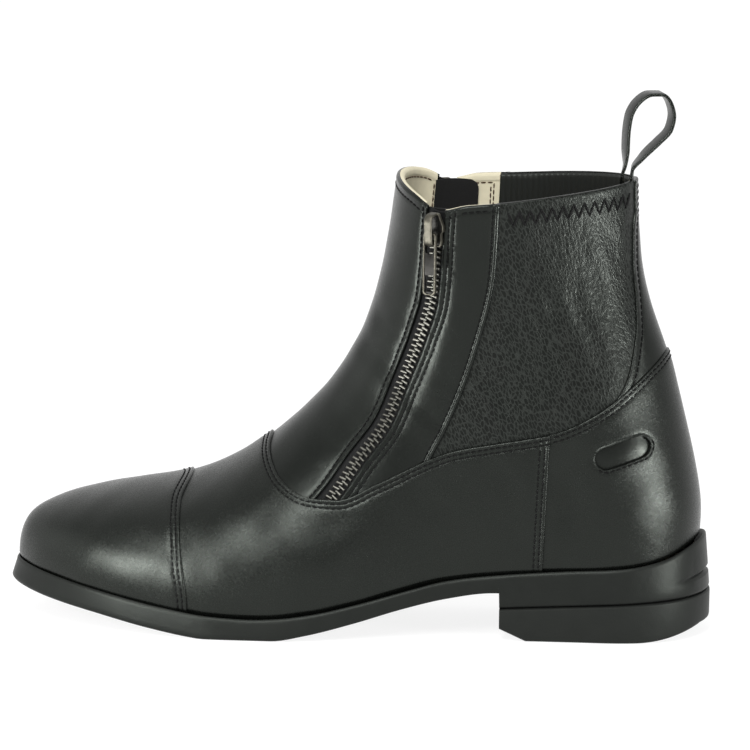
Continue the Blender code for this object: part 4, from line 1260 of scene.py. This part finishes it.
def make_guard(side, tag):
    sheet = cut_sheet(
        [("zip", -GUARD_FRONT - 1.0, 1), ("guard", 0.0, 1), ("below", 3.0, -1), ("side", 0.0, side)], [],
    )
    near = np.full(len(sheet.base), -WALL - 0.25)
    far = np.full(len(sheet.base), -WALL - 1.0)
    item = solid_from_sheet("guard_cloth_" + tag, sheet, near, far, GUARD_CLOTH, "guard_cloth")
    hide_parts("zip_guard_" + tag)


TOOTH_PITCH = 2.43
TOOTH = ((-0.48, -0.5, -0.9), (0.48, 2.5, ZIP_CHAIN_TOP))
TOOTH_SLANT = 0.12


def tooth_shape(flip):
    """One zip tooth: a bar across half of the chain with a softened top, its length along Y."""
    (x0, y0, z0), (x1, y1, z1) = TOOTH
    soft = 0.28
    corners = []
    for z, inset in ((z0, 0.0), (z1 - soft, 0.0), (z1, soft)):
        left, right = x0 + inset, x1 - inset
        near, far = y0 + inset, y1 - inset
        for x, y in ((left, near), (right, near), (right, far), (left, far)):
            corners.append((x + TOOTH_SLANT * y, y * flip, z))
    faces = [(0, 1, 5, 4), (1, 2, 6, 5), (2, 3, 7, 6), (3, 0, 4, 7)]
    faces += [tuple(i + 4 for i in face) for face in faces]
    faces += [(3, 2, 1, 0), (8, 9, 10, 11)]
    if flip < 0:
        faces = [tuple(reversed(face)) for face in faces]
    return np.array(corners), faces


def make_zip(side, tag):
    sheet = cut_sheet(
        [("zip", -ZIP_FRONT - 0.5, 1), ("zip", ZIP_REAR + 0.5, -1), ("below", 1.5, -1), ("collar", 1.0, 1),
         ("side", 0.0, side)],
        [("zip", 0.0), ("zip", -2.4), ("zip", 2.4)],
    )
    ribs = 0.12 * np.exp(-((np.abs(sheet.field["zip"]) - 2.4) / 0.5) ** 2)
    count = len(sheet.base)
    item = solid_from_sheet("zip_tape_" + tag, sheet, ribs - 0.6, np.full(count, -1.7), TAPE, "zip_tape")
    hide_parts("zip_" + tag)
    run = max(chains(sheet, "zip", 0.0), key=len)
    if sheet.base[run[0]][2] < sheet.base[run[-1]][2]:
        run = run[::-1]
    run = run[sheet.field["height"][run] < SLIDER_Z + 4.0]
    groups = []
    for flip, start in ((1.0, 0.25), (-1.0, 0.75)):
        place, way, up = evenly(sheet.base[run], sheet.normal[run], TOOTH_PITCH, start)
        groups.append(scatter(tooth_shape(flip), place, way, up))
    points, faces = join_shapes(groups)
    make_piece("zip_teeth_" + tag, points, faces, TOOTH_METAL, "zip_metal")


# Sole


def plan_outline(x, side, grow):
    """Feather line of the last moved out by an amount that may change along it."""
    y = ridge(x) + side * feather(x, side)
    slope = np.gradient(y, x)
    size = np.sqrt(1.0 + slope ** 2)
    out_x = -side * slope / size
    out_y = side / size
    for end, tip, way in ((0, TOP_LINE[0].x, -1.0), (-1, BACK_LINE[0].x, 1.0)):
        if abs(x[end] - tip) < 0.01:
            out_x[end] = way
            out_y[end] = 0.0
    return np.stack([x + out_x * grow, y + out_y * grow], axis=1)


def stations(first, last, count, extra=()):
    """Places along the sole, closer together at the round ends."""
    u = np.linspace(0.0, 1.0, count + 1)
    x = first + (last - first) * (0.5 - 0.5 * np.cos(math.pi * u))
    return np.sort(np.concatenate([x, extra]))


def ledge(x):
    """How far the sole stands out from the last."""
    side = LEDGE_TOE + (LEDGE_HEEL - LEDGE_TOE) * smoothstep(x, 0.0, 60.0)
    back = (LEDGE_BACK - LEDGE_HEEL) * smoothstep(x, 115.0, BACK_LINE[0].x)
    tip = (LEDGE_TIP - LEDGE_TOE) * smoothstep(-x, 125.0, -TOP_LINE[0].x)
    return side + back + tip


def ring_piece(name, x, rings, tread, finish, slot):
    """Closed piece stacked from outlines; a ring gives its outward growth and its height at x.

    The first ring is closed by a grid of points that the tread function lifts, the last by plain strips.
    """
    count = len(x)
    points = []
    for grow, height in rings:
        for side in (-1, 1):
            flat = plan_outline(x, side, grow(x))
            z = height(flat[:, 0], x)
            way = slice(None) if side < 0 else slice(None, None, -1)
            points.append(np.column_stack([flat, z])[way])
    size = 2 * count
    faces = ring_faces(len(rings), size)
    last = (len(rings) - 1) * size
    for i in range(count - 1):
        faces.append((last + i, last + i + 1, last + size - 2 - i, last + size - 1 - i))
    left = points[0]
    right = points[1][::-1]
    inner = []
    for k in range(1, TREAD_ACROSS):
        row = left + (right - left) * (k / TREAD_ACROSS)
        edge = np.minimum(k, TREAD_ACROSS - k) / TREAD_ACROSS * np.abs(right[:, 1] - left[:, 1])
        row[:, 2] += tread(row[:, 0], row[:, 1], edge)
        inner.append(row)
    start = len(rings) * size
    lines = [list(range(count))]
    lines += [list(range(start + k * count, start + (k + 1) * count)) for k in range(TREAD_ACROSS - 1)]
    lines.append(list(range(size - 1, count - 1, -1)))
    for one, two in zip(lines[:-1], lines[1:]):
        for i in range(count - 1):
            faces.append((one[i], two[i], two[i + 1], one[i + 1]))
    bm = bmesh.new()
    verts = [bm.verts.new(p) for p in np.concatenate(points + inner)]
    for face in faces:
        bm.faces.new([verts[i] for i in face])
    bmesh.ops.remove_doubles(bm, verts=bm.verts, dist=0.01)
    bmesh.ops.recalc_face_normals(bm, faces=bm.faces)
    return make_piece(name, *unpack(bm), finish, slot, sharp=32.0)


def lean(x):
    """How much further the foot of the sole's wall stands out than its rim."""
    tip = (LEAN_TIP - LEAN_SIDE) * smoothstep(-x, 105.0, -TOP_LINE[0].x)
    back = (LEAN_BACK - LEAN_SIDE) * smoothstep(x, 105.0, BACK_LINE[0].x)
    return LEAN_SIDE + tip + back


def out_by(inset, low=0.0):
    return lambda x: ledge(x) + low * lean(x) - inset


def heel_split(x):
    """Level of the joint between the heel base and its top piece, which rises to the back."""
    share = (x - HEEL_BREAST_X) / (HEEL_END_X - HEEL_BREAST_X)
    return HEEL_SPLIT_FRONT + (HEEL_SPLIT_BACK - HEEL_SPLIT_FRONT) * share


def at_rim(drop):
    return lambda x, station: column(SOLE, "x", x, "rim") - drop


def at_bottom(rise):
    def height(x, station):
        heel = heel_split(x) + GAP
        return np.where(station > HEEL_BREAST_X, heel, column(SOLE, "x", x, "bottom")) + rise
    return height


def part_way(share, cut=0.0):
    """Ring part of the way up the sole's wall; the cut is the notch across the back of the heel."""
    def grow(x):
        return ledge(x) + (1.0 - share) * lean(x) - cut * smoothstep(x, 128.0, 138.0)

    def height(x, station):
        low = at_bottom(1.5)(x, station)
        return low + share * (at_rim(1.9)(x, station) - low)

    return grow, height


def tread_rib(at, pitch):
    """Rows of ribs across the sole, as a share of their height."""
    return smoothstep(np.sin(2.0 * math.pi * at / pitch), 0.1, 0.5)


def make_sole():
    breast = (HEEL_BREAST_X - 0.1, HEEL_BREAST_X + 0.1)
    x = stations(TOP_LINE[0].x, BACK_LINE[0].x, SOLE_STATIONS, breast)

    def inner(at):
        return np.full(len(at), -1.2)

    def seat(at, station):
        return column(SOLE, "x", at, "seat") - 0.6

    def forepart_tread(at, y, edge):
        """Shallow wavy ribs under the ball and toes; the waist is plain."""
        zone = smoothstep(at, -132.0, -128.0) * smoothstep(-at, 22.0, 26.0) * smoothstep(edge, 5.0, 7.0)
        return TREAD_DEPTH * zone * tread_rib(at + 1.6 * np.sin(0.35 * y), FOREPART_PITCH)

    rings = (
        (out_by(1.5, 1.0), at_bottom(0.0)),
        (out_by(0.7, 1.0), at_bottom(0.2)),
        (out_by(0.2, 1.0), at_bottom(0.7)),
        (out_by(0.0, 1.0), at_bottom(1.5)),
        part_way(0.24),
        part_way(0.29, 0.9),
        part_way(0.32, 1.6),
        part_way(0.35, 0.9),
        part_way(0.40),
        (out_by(0.0), at_rim(1.9)),
        (out_by(0.15), at_rim(1.0)),
        (out_by(0.5), at_rim(0.35)),
        (out_by(1.0), at_rim(0.0)),
        (out_by(1.6), at_rim(0.35)),
        (out_by(2.3), at_rim(1.6)),
        (inner, seat),
    )
    item = ring_piece("sole_unit", x, rings, forepart_tread, SOLE_RUBBER, "sole_rubber")
    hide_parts("outsole")


def make_heel():
    first = HEEL_BREAST_X + 0.1
    x = stations(first, BACK_LINE[0].x, HEEL_STATIONS)

    def foot(rise):
        def height(at, station):
            front = np.clip(1.0 - (at - first) / HEEL_FRONT_BEVEL[0], 0.0, 1.0) * HEEL_FRONT_BEVEL[1]
            back = np.clip((at - HEEL_END_X) / HEEL_REAR_BEVEL[0] + 1.0, 0.0, 1.0) ** 2 * HEEL_REAR_BEVEL[1]
            return front + back + rise
        return height

    def top(drop):
        return lambda at, station: heel_split(at) - drop

    def heel_tread(at, y, edge):
        zone = smoothstep(at, 74.0, 76.0) * smoothstep(edge, 4.0, 6.0) * smoothstep(-at, -134.0, -130.0)
        return TREAD_DEPTH * zone * tread_rib(at + 0.25 * np.abs(y), HEEL_PITCH)

    rings = (
        (out_by(1.2, 1.0), foot(0.0)),
        (out_by(0.5, 1.0), foot(0.2)),
        (out_by(0.0, 1.0), foot(0.7)),
        (out_by(-0.2, 1.0), foot(1.5)),
        (out_by(-0.3, 1.0), top(1.4)),
        (out_by(-0.2, 1.0), top(0.7)),
        (out_by(0.2, 1.0), top(0.25)),
        (out_by(0.9, 1.0), top(0.0)),
    )
    item = ring_piece("heel_lift", x, rings, heel_tread, HEEL_RUBBER, "sole_rubber")
    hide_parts("heel_top_piece")


def make_insole():
    x = stations(TOP_LINE[0].x, BACK_LINE[0].x, INSOLE_STATIONS)

    def seat(rise):
        return lambda at, station: column(SOLE, "x", at, "seat") + rise

    def inward(amount):
        return lambda at: np.full(len(at), -WALL - amount)

    rings = (
        (inward(INSOLE_CLEAR), seat(0.0)),
        (inward(INSOLE_CLEAR), seat(INSOLE_THICKNESS - 0.9)),
        (inward(INSOLE_CLEAR + 0.35), seat(INSOLE_THICKNESS - 0.2)),
        (inward(INSOLE_CLEAR + 1.2), seat(INSOLE_THICKNESS)),
    )
    item = ring_piece("footbed", x, rings, lambda at, y, edge: 0.0 * at, LINING, "lining")
    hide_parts("insole")


# Loop and metal


def sweep(path, ways, ups, section):
    """Band with a closed section (across, up) along a path; both ends are capped."""
    across = np.cross(ups, ways)
    section = np.asarray(section)
    rings = path[:, None] + section[None, :, :1] * across[:, None] + section[None, :, 1:] * ups[:, None]
    count = len(section)
    faces = ring_faces(len(path), count, flip=True)
    faces.append(tuple(range(count)))
    faces.append(tuple(reversed(range((len(path) - 1) * count, len(path) * count))))
    return rings.reshape(-1, 3), faces


def soft_section(wide, high, corner):
    """Rectangle with rounded corners, given by its half sizes."""
    points = []
    for sx, sy, start in ((1, 1, 0), (-1, 1, 90), (-1, -1, 180), (1, -1, 270)):
        for k in range(4):
            turn = math.radians(start + 30 * k)
            points.append((sx * (wide - corner) + corner * math.cos(turn),
                           sy * (high - corner) + corner * math.sin(turn)))
    return points


def make_loop():
    """Folded leather band in two layers, turned to the outer side as it rises from the collar."""
    flat = polyline(LOOP_LINE, 180)
    path = np.column_stack([flat[:, 0], np.zeros(len(flat)), flat[:, 1]])
    ways = unit(np.gradient(path, axis=0))
    sideways = np.tile((0.0, -1.0, 0.0), (len(path), 1))
    ups = np.cross(ways, sideways)
    turns = math.radians(LOOP_TURN) * smoothstep(path[:, 2], *LOOP_TURN_RISE)
    for tag, lift in (("inner", 0.36), ("outer", -0.36)):
        section = soft_section(LOOP_WIDTH / 2 - (0.12 if tag == "inner" else 0.0), 0.33, 0.25)
        points, faces = sweep(path + ups * lift, ways, ups, section)
        turn = np.repeat(turns, len(section))
        x = points[:, 0] - LOOP_AXIS_X
        y = points[:, 1].copy()
        points[:, 0] = LOOP_AXIS_X + x * np.cos(turn) - y * np.sin(turn)
        points[:, 1] = x * np.sin(turn) + y * np.cos(turn)
        item = make_piece("loop_band_" + tag, points, faces, SHAFT_LEATHER, "calf_leather")
        if tag == "outer":
            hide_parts("pull_loop")


def zip_frame(side):
    """Place and axes at the slider: level across, up along the zip, out from the surface."""
    path = polyline(ZIP_LINE, 200)
    x, z = path[np.argmin(abs(path[:, 1] - SLIDER_Z))]

    def surface(px, pz):
        return float(ridge(px) + side * half_width(np.array(px), np.array(pz), side))

    step = 2.0
    along_x = Vector((2 * step, surface(x + step, z) - surface(x - step, z), 0))
    along_z = Vector((0, surface(x, z + step) - surface(x, z - step), 2 * step))
    out = along_x.cross(along_z).normalized()
    if out.y * side < 0:
        out = -out
    across = Vector((0, 0, 1)).cross(out).normalized()
    up = out.cross(across)
    return Vector((x, surface(x, z), z)), Matrix((across, up, out)).transposed()


def arc(centre, radius, start, end, count=8):
    turn = [math.radians(start + (end - start) * i / count) for i in range(count + 1)]
    return [(centre[0] + radius * math.cos(a), centre[1] + radius * math.sin(a)) for a in turn]


def plate(outline, low, high, soft, holes=()):
    """Flat plate with softened edges; a hole is an outline inside it."""
    bm = bmesh.new()
    loops = []
    for ring in (outline, *holes):
        verts = [bm.verts.new((a, b, low)) for a, b in ring]
        loops += [bm.edges.new((verts[i], verts[(i + 1) % len(verts)])) for i in range(len(verts))]
    made = bmesh.ops.triangle_fill(bm, use_beauty=True, use_dissolve=False, edges=loops)
    faces = [item for item in made["geom"] if isinstance(item, bmesh.types.BMFace)]
    moved = bmesh.ops.extrude_face_region(bm, geom=faces)["geom"]
    raised = [item for item in moved if isinstance(item, bmesh.types.BMVert)]
    bmesh.ops.translate(bm, verts=raised, vec=(0, 0, high - low))
    bmesh.ops.recalc_face_normals(bm, faces=bm.faces)
    bm.normal_update()
    sharp = [e for e in bm.edges if len(e.link_faces) == 2 and e.calc_face_angle() > 1.2]
    bmesh.ops.bevel(bm, geom=sharp, offset=soft, segments=2, affect="EDGES", profile=0.5)
    return unpack(bm)


def placed(shape, matrix):
    points, faces = shape
    moved = points @ np.array(matrix.to_3x3()).T + np.array(matrix.translation)
    return moved, faces


def shield(inset):
    """Outline of the slider's body, with slanted shoulders and a narrower foot."""
    half = SLIDER_WIDTH / 2 - inset
    foot = SLIDER_WIDTH * 0.4 - inset
    neck = 1.9 - 0.5 * inset
    end = SLIDER_LENGTH / 2 - inset
    right = [(foot - 0.8, -end), (foot, 0.8 - end), (foot, -1.4), (half, -0.5)]
    right += [(half, 2.0), (half - 0.4, 3.0), (neck + 0.6, end - 0.5), (neck, end)]
    return right + [(-a, b) for a, b in reversed(right)]


def tab_outline(inset):
    """Outline of the pull tab, from the bar that turns in the strap to its rounded end."""
    wide = PULL_WIDTH / 2 - inset
    high = arc((wide - 1.2, -0.5 - inset), 1.2, 0, 90) + arc((1.2 - wide, -0.5 - inset), 1.2, 90, 180)
    end = 1.6 - PULL_LENGTH + inset
    return high + arc((1.6 - wide, end), 1.6, 180, 270) + arc((wide - 1.6, end), 1.6, 270, 360)


def strap_path(top):
    """Middle line of the strap over the slider: up, over and down, in its own plane."""
    under = top + PULL_PIVOT_RISE + PULL_ROOM
    over = under + STRAP_THICKNESS / 2
    low = STRAP_LOW + STRAP_THICKNESS / 2
    high = low + STRAP_LENGTH - STRAP_THICKNESS
    corner = 1.6
    outline = [(low, top - 0.4)]
    outline += arc((low + corner, over - corner), corner, 180, 90, 6)
    outline += arc((high - 2.6, over - 2.6), 2.6, 90, 0)
    outline.append((high, top - 0.4))
    return polyline([Point("strap", a, b) for a, b in outline], 48)


def make_slider(side, tag):
    """Slider with plain nickel flanges, a middle painted darker as painted shade, a long strap, and the
    hinged pull tab.
    """
    place, axes = zip_frame(side)
    matrix = Matrix.Translation(place) @ axes.to_4x4()
    base = ZIP_CHAIN_TOP + GAP
    top = base + SLIDER_THICKNESS
    smooth = strap_path(top)
    path = np.column_stack([np.zeros(len(smooth)), smooth])
    ways = unit(np.gradient(path, axis=0))
    sideways = np.tile((1.0, 0.0, 0.0), (len(path), 1))
    section = soft_section(STRAP_WIDTH / 2, STRAP_THICKNESS / 2, 0.35)
    strap = sweep(path, ways, np.cross(ways, sideways), section)
    flange = plate(shield(0.0), base, top, 0.15, [shield(0.5)])
    points, faces = join_shapes([placed(group, matrix) for group in (flange, strap)])
    item = make_piece("slider_" + tag, points, faces, NICKEL, "zip_metal", sharp=50.0)
    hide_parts("zip_slider_" + tag)
    # Middle of the slider in nickel painted darker as painted shade
    points, faces = placed(plate(shield(0.4), base + 0.1, top - 0.5, 0.1), matrix)
    make_piece("slider_middle_" + tag, points, faces, NICKEL_PAINTED_SHADE, "zip_metal", sharp=50.0)
    hinge = matrix @ Vector((0, PULL_PIVOT, top + PULL_PIVOT_RISE))
    across = axes.col[0]
    up = Vector((0, 0, 1))
    hang = Matrix.Translation(hinge) @ Matrix((across, up, across.cross(up))).transposed().to_4x4()
    thick = PULL_THICKNESS / 2
    half, near, far = PULL_EYE
    eye = arc((1.4 - half, 1.4 - far), 1.4, 180, 270) + arc((half - 1.4, 1.4 - far), 1.4, 270, 360)
    eye += [(half, -near), (-half, -near)]
    half, near, far = PULL_WINDOW
    low, high = near - PULL_LENGTH, far - PULL_LENGTH
    window = [(half, low), (half, high), (-half, high), (-half, low)]
    frame_shape = plate(tab_outline(0.0), -thick, thick, 0.15, [tab_outline(0.55)])
    points, faces = placed(frame_shape, hang)
    item = make_piece("pull_tab_" + tag, points, faces, NICKEL, "zip_metal", "pull_" + tag, sharp=50.0)
    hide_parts("zip_pull_" + tag)
    # Face of the pull tab in nickel painted darker as painted shade; its rim stays plain nickel
    face_shape = plate(tab_outline(0.45), 0.4 - thick, thick - 0.4, 0.08, [eye, window])
    points, faces = placed(face_shape, hang)
    make_piece("pull_face_" + tag, points, faces, NICKEL_PAINTED_SHADE, "zip_metal", "pull_" + tag, sharp=50.0)


def build():
    make_toe_cap()
    make_vamp()
    make_counter()
    make_front_panel()
    make_back_strip()
    make_lining()
    make_sole()
    make_heel()
    make_insole()
    make_loop()
    for side, tag in ((-1, "lateral"), (1, "medial")):
        make_facing(side, tag)
        make_stretch(side, tag)
        make_guard(side, tag)
        make_zip(side, tag)
        make_slider(side, tag)
    points, faces = join_shapes(STITCHES)
    make_piece("seam_stitches", points, faces, THREAD_BLACK, "calf_leather", sharp=80.0)
    points, faces = join_shapes(BROWN_STITCHES)
    make_piece("lining_stitches", points, faces, THREAD_BROWN, "lining", sharp=80.0)


# Stage: a white floor and sky, soft lights, and the photo's point of view


def add_light(name, place, target, size, power):
    lamp = bpy.data.lights.new(name, "AREA")
    lamp.shape = "RECTANGLE"
    lamp.size = size[0]
    lamp.size_y = size[1]
    lamp.energy = power
    item = add_object(name, lamp)
    item.visible_camera = False
    item.location = place
    item.rotation_euler = (Vector(target) - Vector(place)).to_track_quat("-Z", "Y").to_euler()
    return item


SKY_FRONT = 0.58
SKY_BACK = 0.98
SKY_FADE = (-0.4, 0.6)


def make_sky():
    """White sky, brighter behind the boot than in front of it."""
    world = bpy.data.worlds.new("sky")
    world.use_nodes = True
    tree = world.node_tree
    where = new_node(tree, "TexCoord", {}, {})
    split = new_node(tree, "SeparateXYZ", {}, {"Vector": where.outputs["Generated"]})
    level = ranged(tree, split.outputs["Y"], SKY_FADE[0], SKY_FADE[1], SKY_FRONT, SKY_BACK)
    tree.links.new(level, tree.nodes["Background"].inputs["Strength"])
    bpy.context.scene.world = world
    tree.nodes["Background"].inputs["Color"].default_value = (1.0, 1.0, 1.0, 1.0)


FLOOR_FAR = 40.0
FLOOR_Z = -0.2 * MM
FLOOR_GLOW = 0.86


def make_stage():
    mesh = bpy.data.meshes.new("floor")
    corners = [(FLOOR_FAR * a, FLOOR_FAR * b, FLOOR_Z) for a, b in ((-1, -1), (1, -1), (1, 1), (-1, 1))]
    mesh.from_pydata(corners, [], [(0, 1, 2, 3)])
    white, _, shader = new_finish("white_floor", (0.2, 0.2, 0.2), 0.8, specular=0.0)
    shader.inputs["Emission Color"].default_value = (1.0, 1.0, 1.0, 1.0)
    shader.inputs["Emission Strength"].default_value = FLOOR_GLOW
    mesh.materials.append(white)
    floor = add_object("floor", mesh)
    make_sky()
    middle = (0.0, 0.0, 0.1)
    add_light("left_softbox", (-0.203, -0.224, 0.066), (-0.1, -0.03, 0.05), (0.11, 0.122), 0.9)
    add_light("left_panel", (-1.55, -0.4, 0.4), middle, (1.6, 1.4), 6.0)
    add_light("front_softbox", (-0.12, -1.15, 1.25), middle, (0.55, 1.0), 26.0)
    add_light("right_softbox", (0.518, -0.26, 0.056), (0.12, -0.03, 0.06), (0.13, 0.1), 2.0)
    add_light("right_panel", (1.42, -0.88, 0.5), middle, (0.5, 0.8), 4.6)


VIEW_TURN = math.radians(4.0)
VIEW_RISE = math.radians(12.0)
VIEW_ROLL = 0.014
VIEW_CENTRE = (4.6, 101.4)
VIEW_SPAN = 311.7
VIEW_DISTANCE = 8.0
SENSOR = 36.0


def make_camera():
    right = Vector((math.cos(VIEW_TURN), math.sin(VIEW_TURN), 0.0))
    up = Vector((-math.sin(VIEW_TURN) * math.sin(VIEW_RISE), math.cos(VIEW_TURN) * math.sin(VIEW_RISE),
                 math.cos(VIEW_RISE)))
    target = (right * VIEW_CENTRE[0] + up * VIEW_CENTRE[1]) * MM
    level = (right + up * VIEW_ROLL).normalized()
    high = (up - right * VIEW_ROLL).normalized()
    back = level.cross(high)
    lens = bpy.data.cameras.new("photo_view")
    lens.sensor_width = SENSOR
    lens.lens = SENSOR * VIEW_DISTANCE / (VIEW_SPAN * MM)
    lens.clip_end = 100.0
    item = add_object("photo_view", lens)
    axes = Matrix((level, high, back)).transposed().to_4x4()
    item.matrix_world = Matrix.Translation(target + back * VIEW_DISTANCE) @ axes
    bpy.context.scene.camera = item


build()
make_stage()
make_camera()
bpy.context.scene.view_settings.view_transform = "Standard"
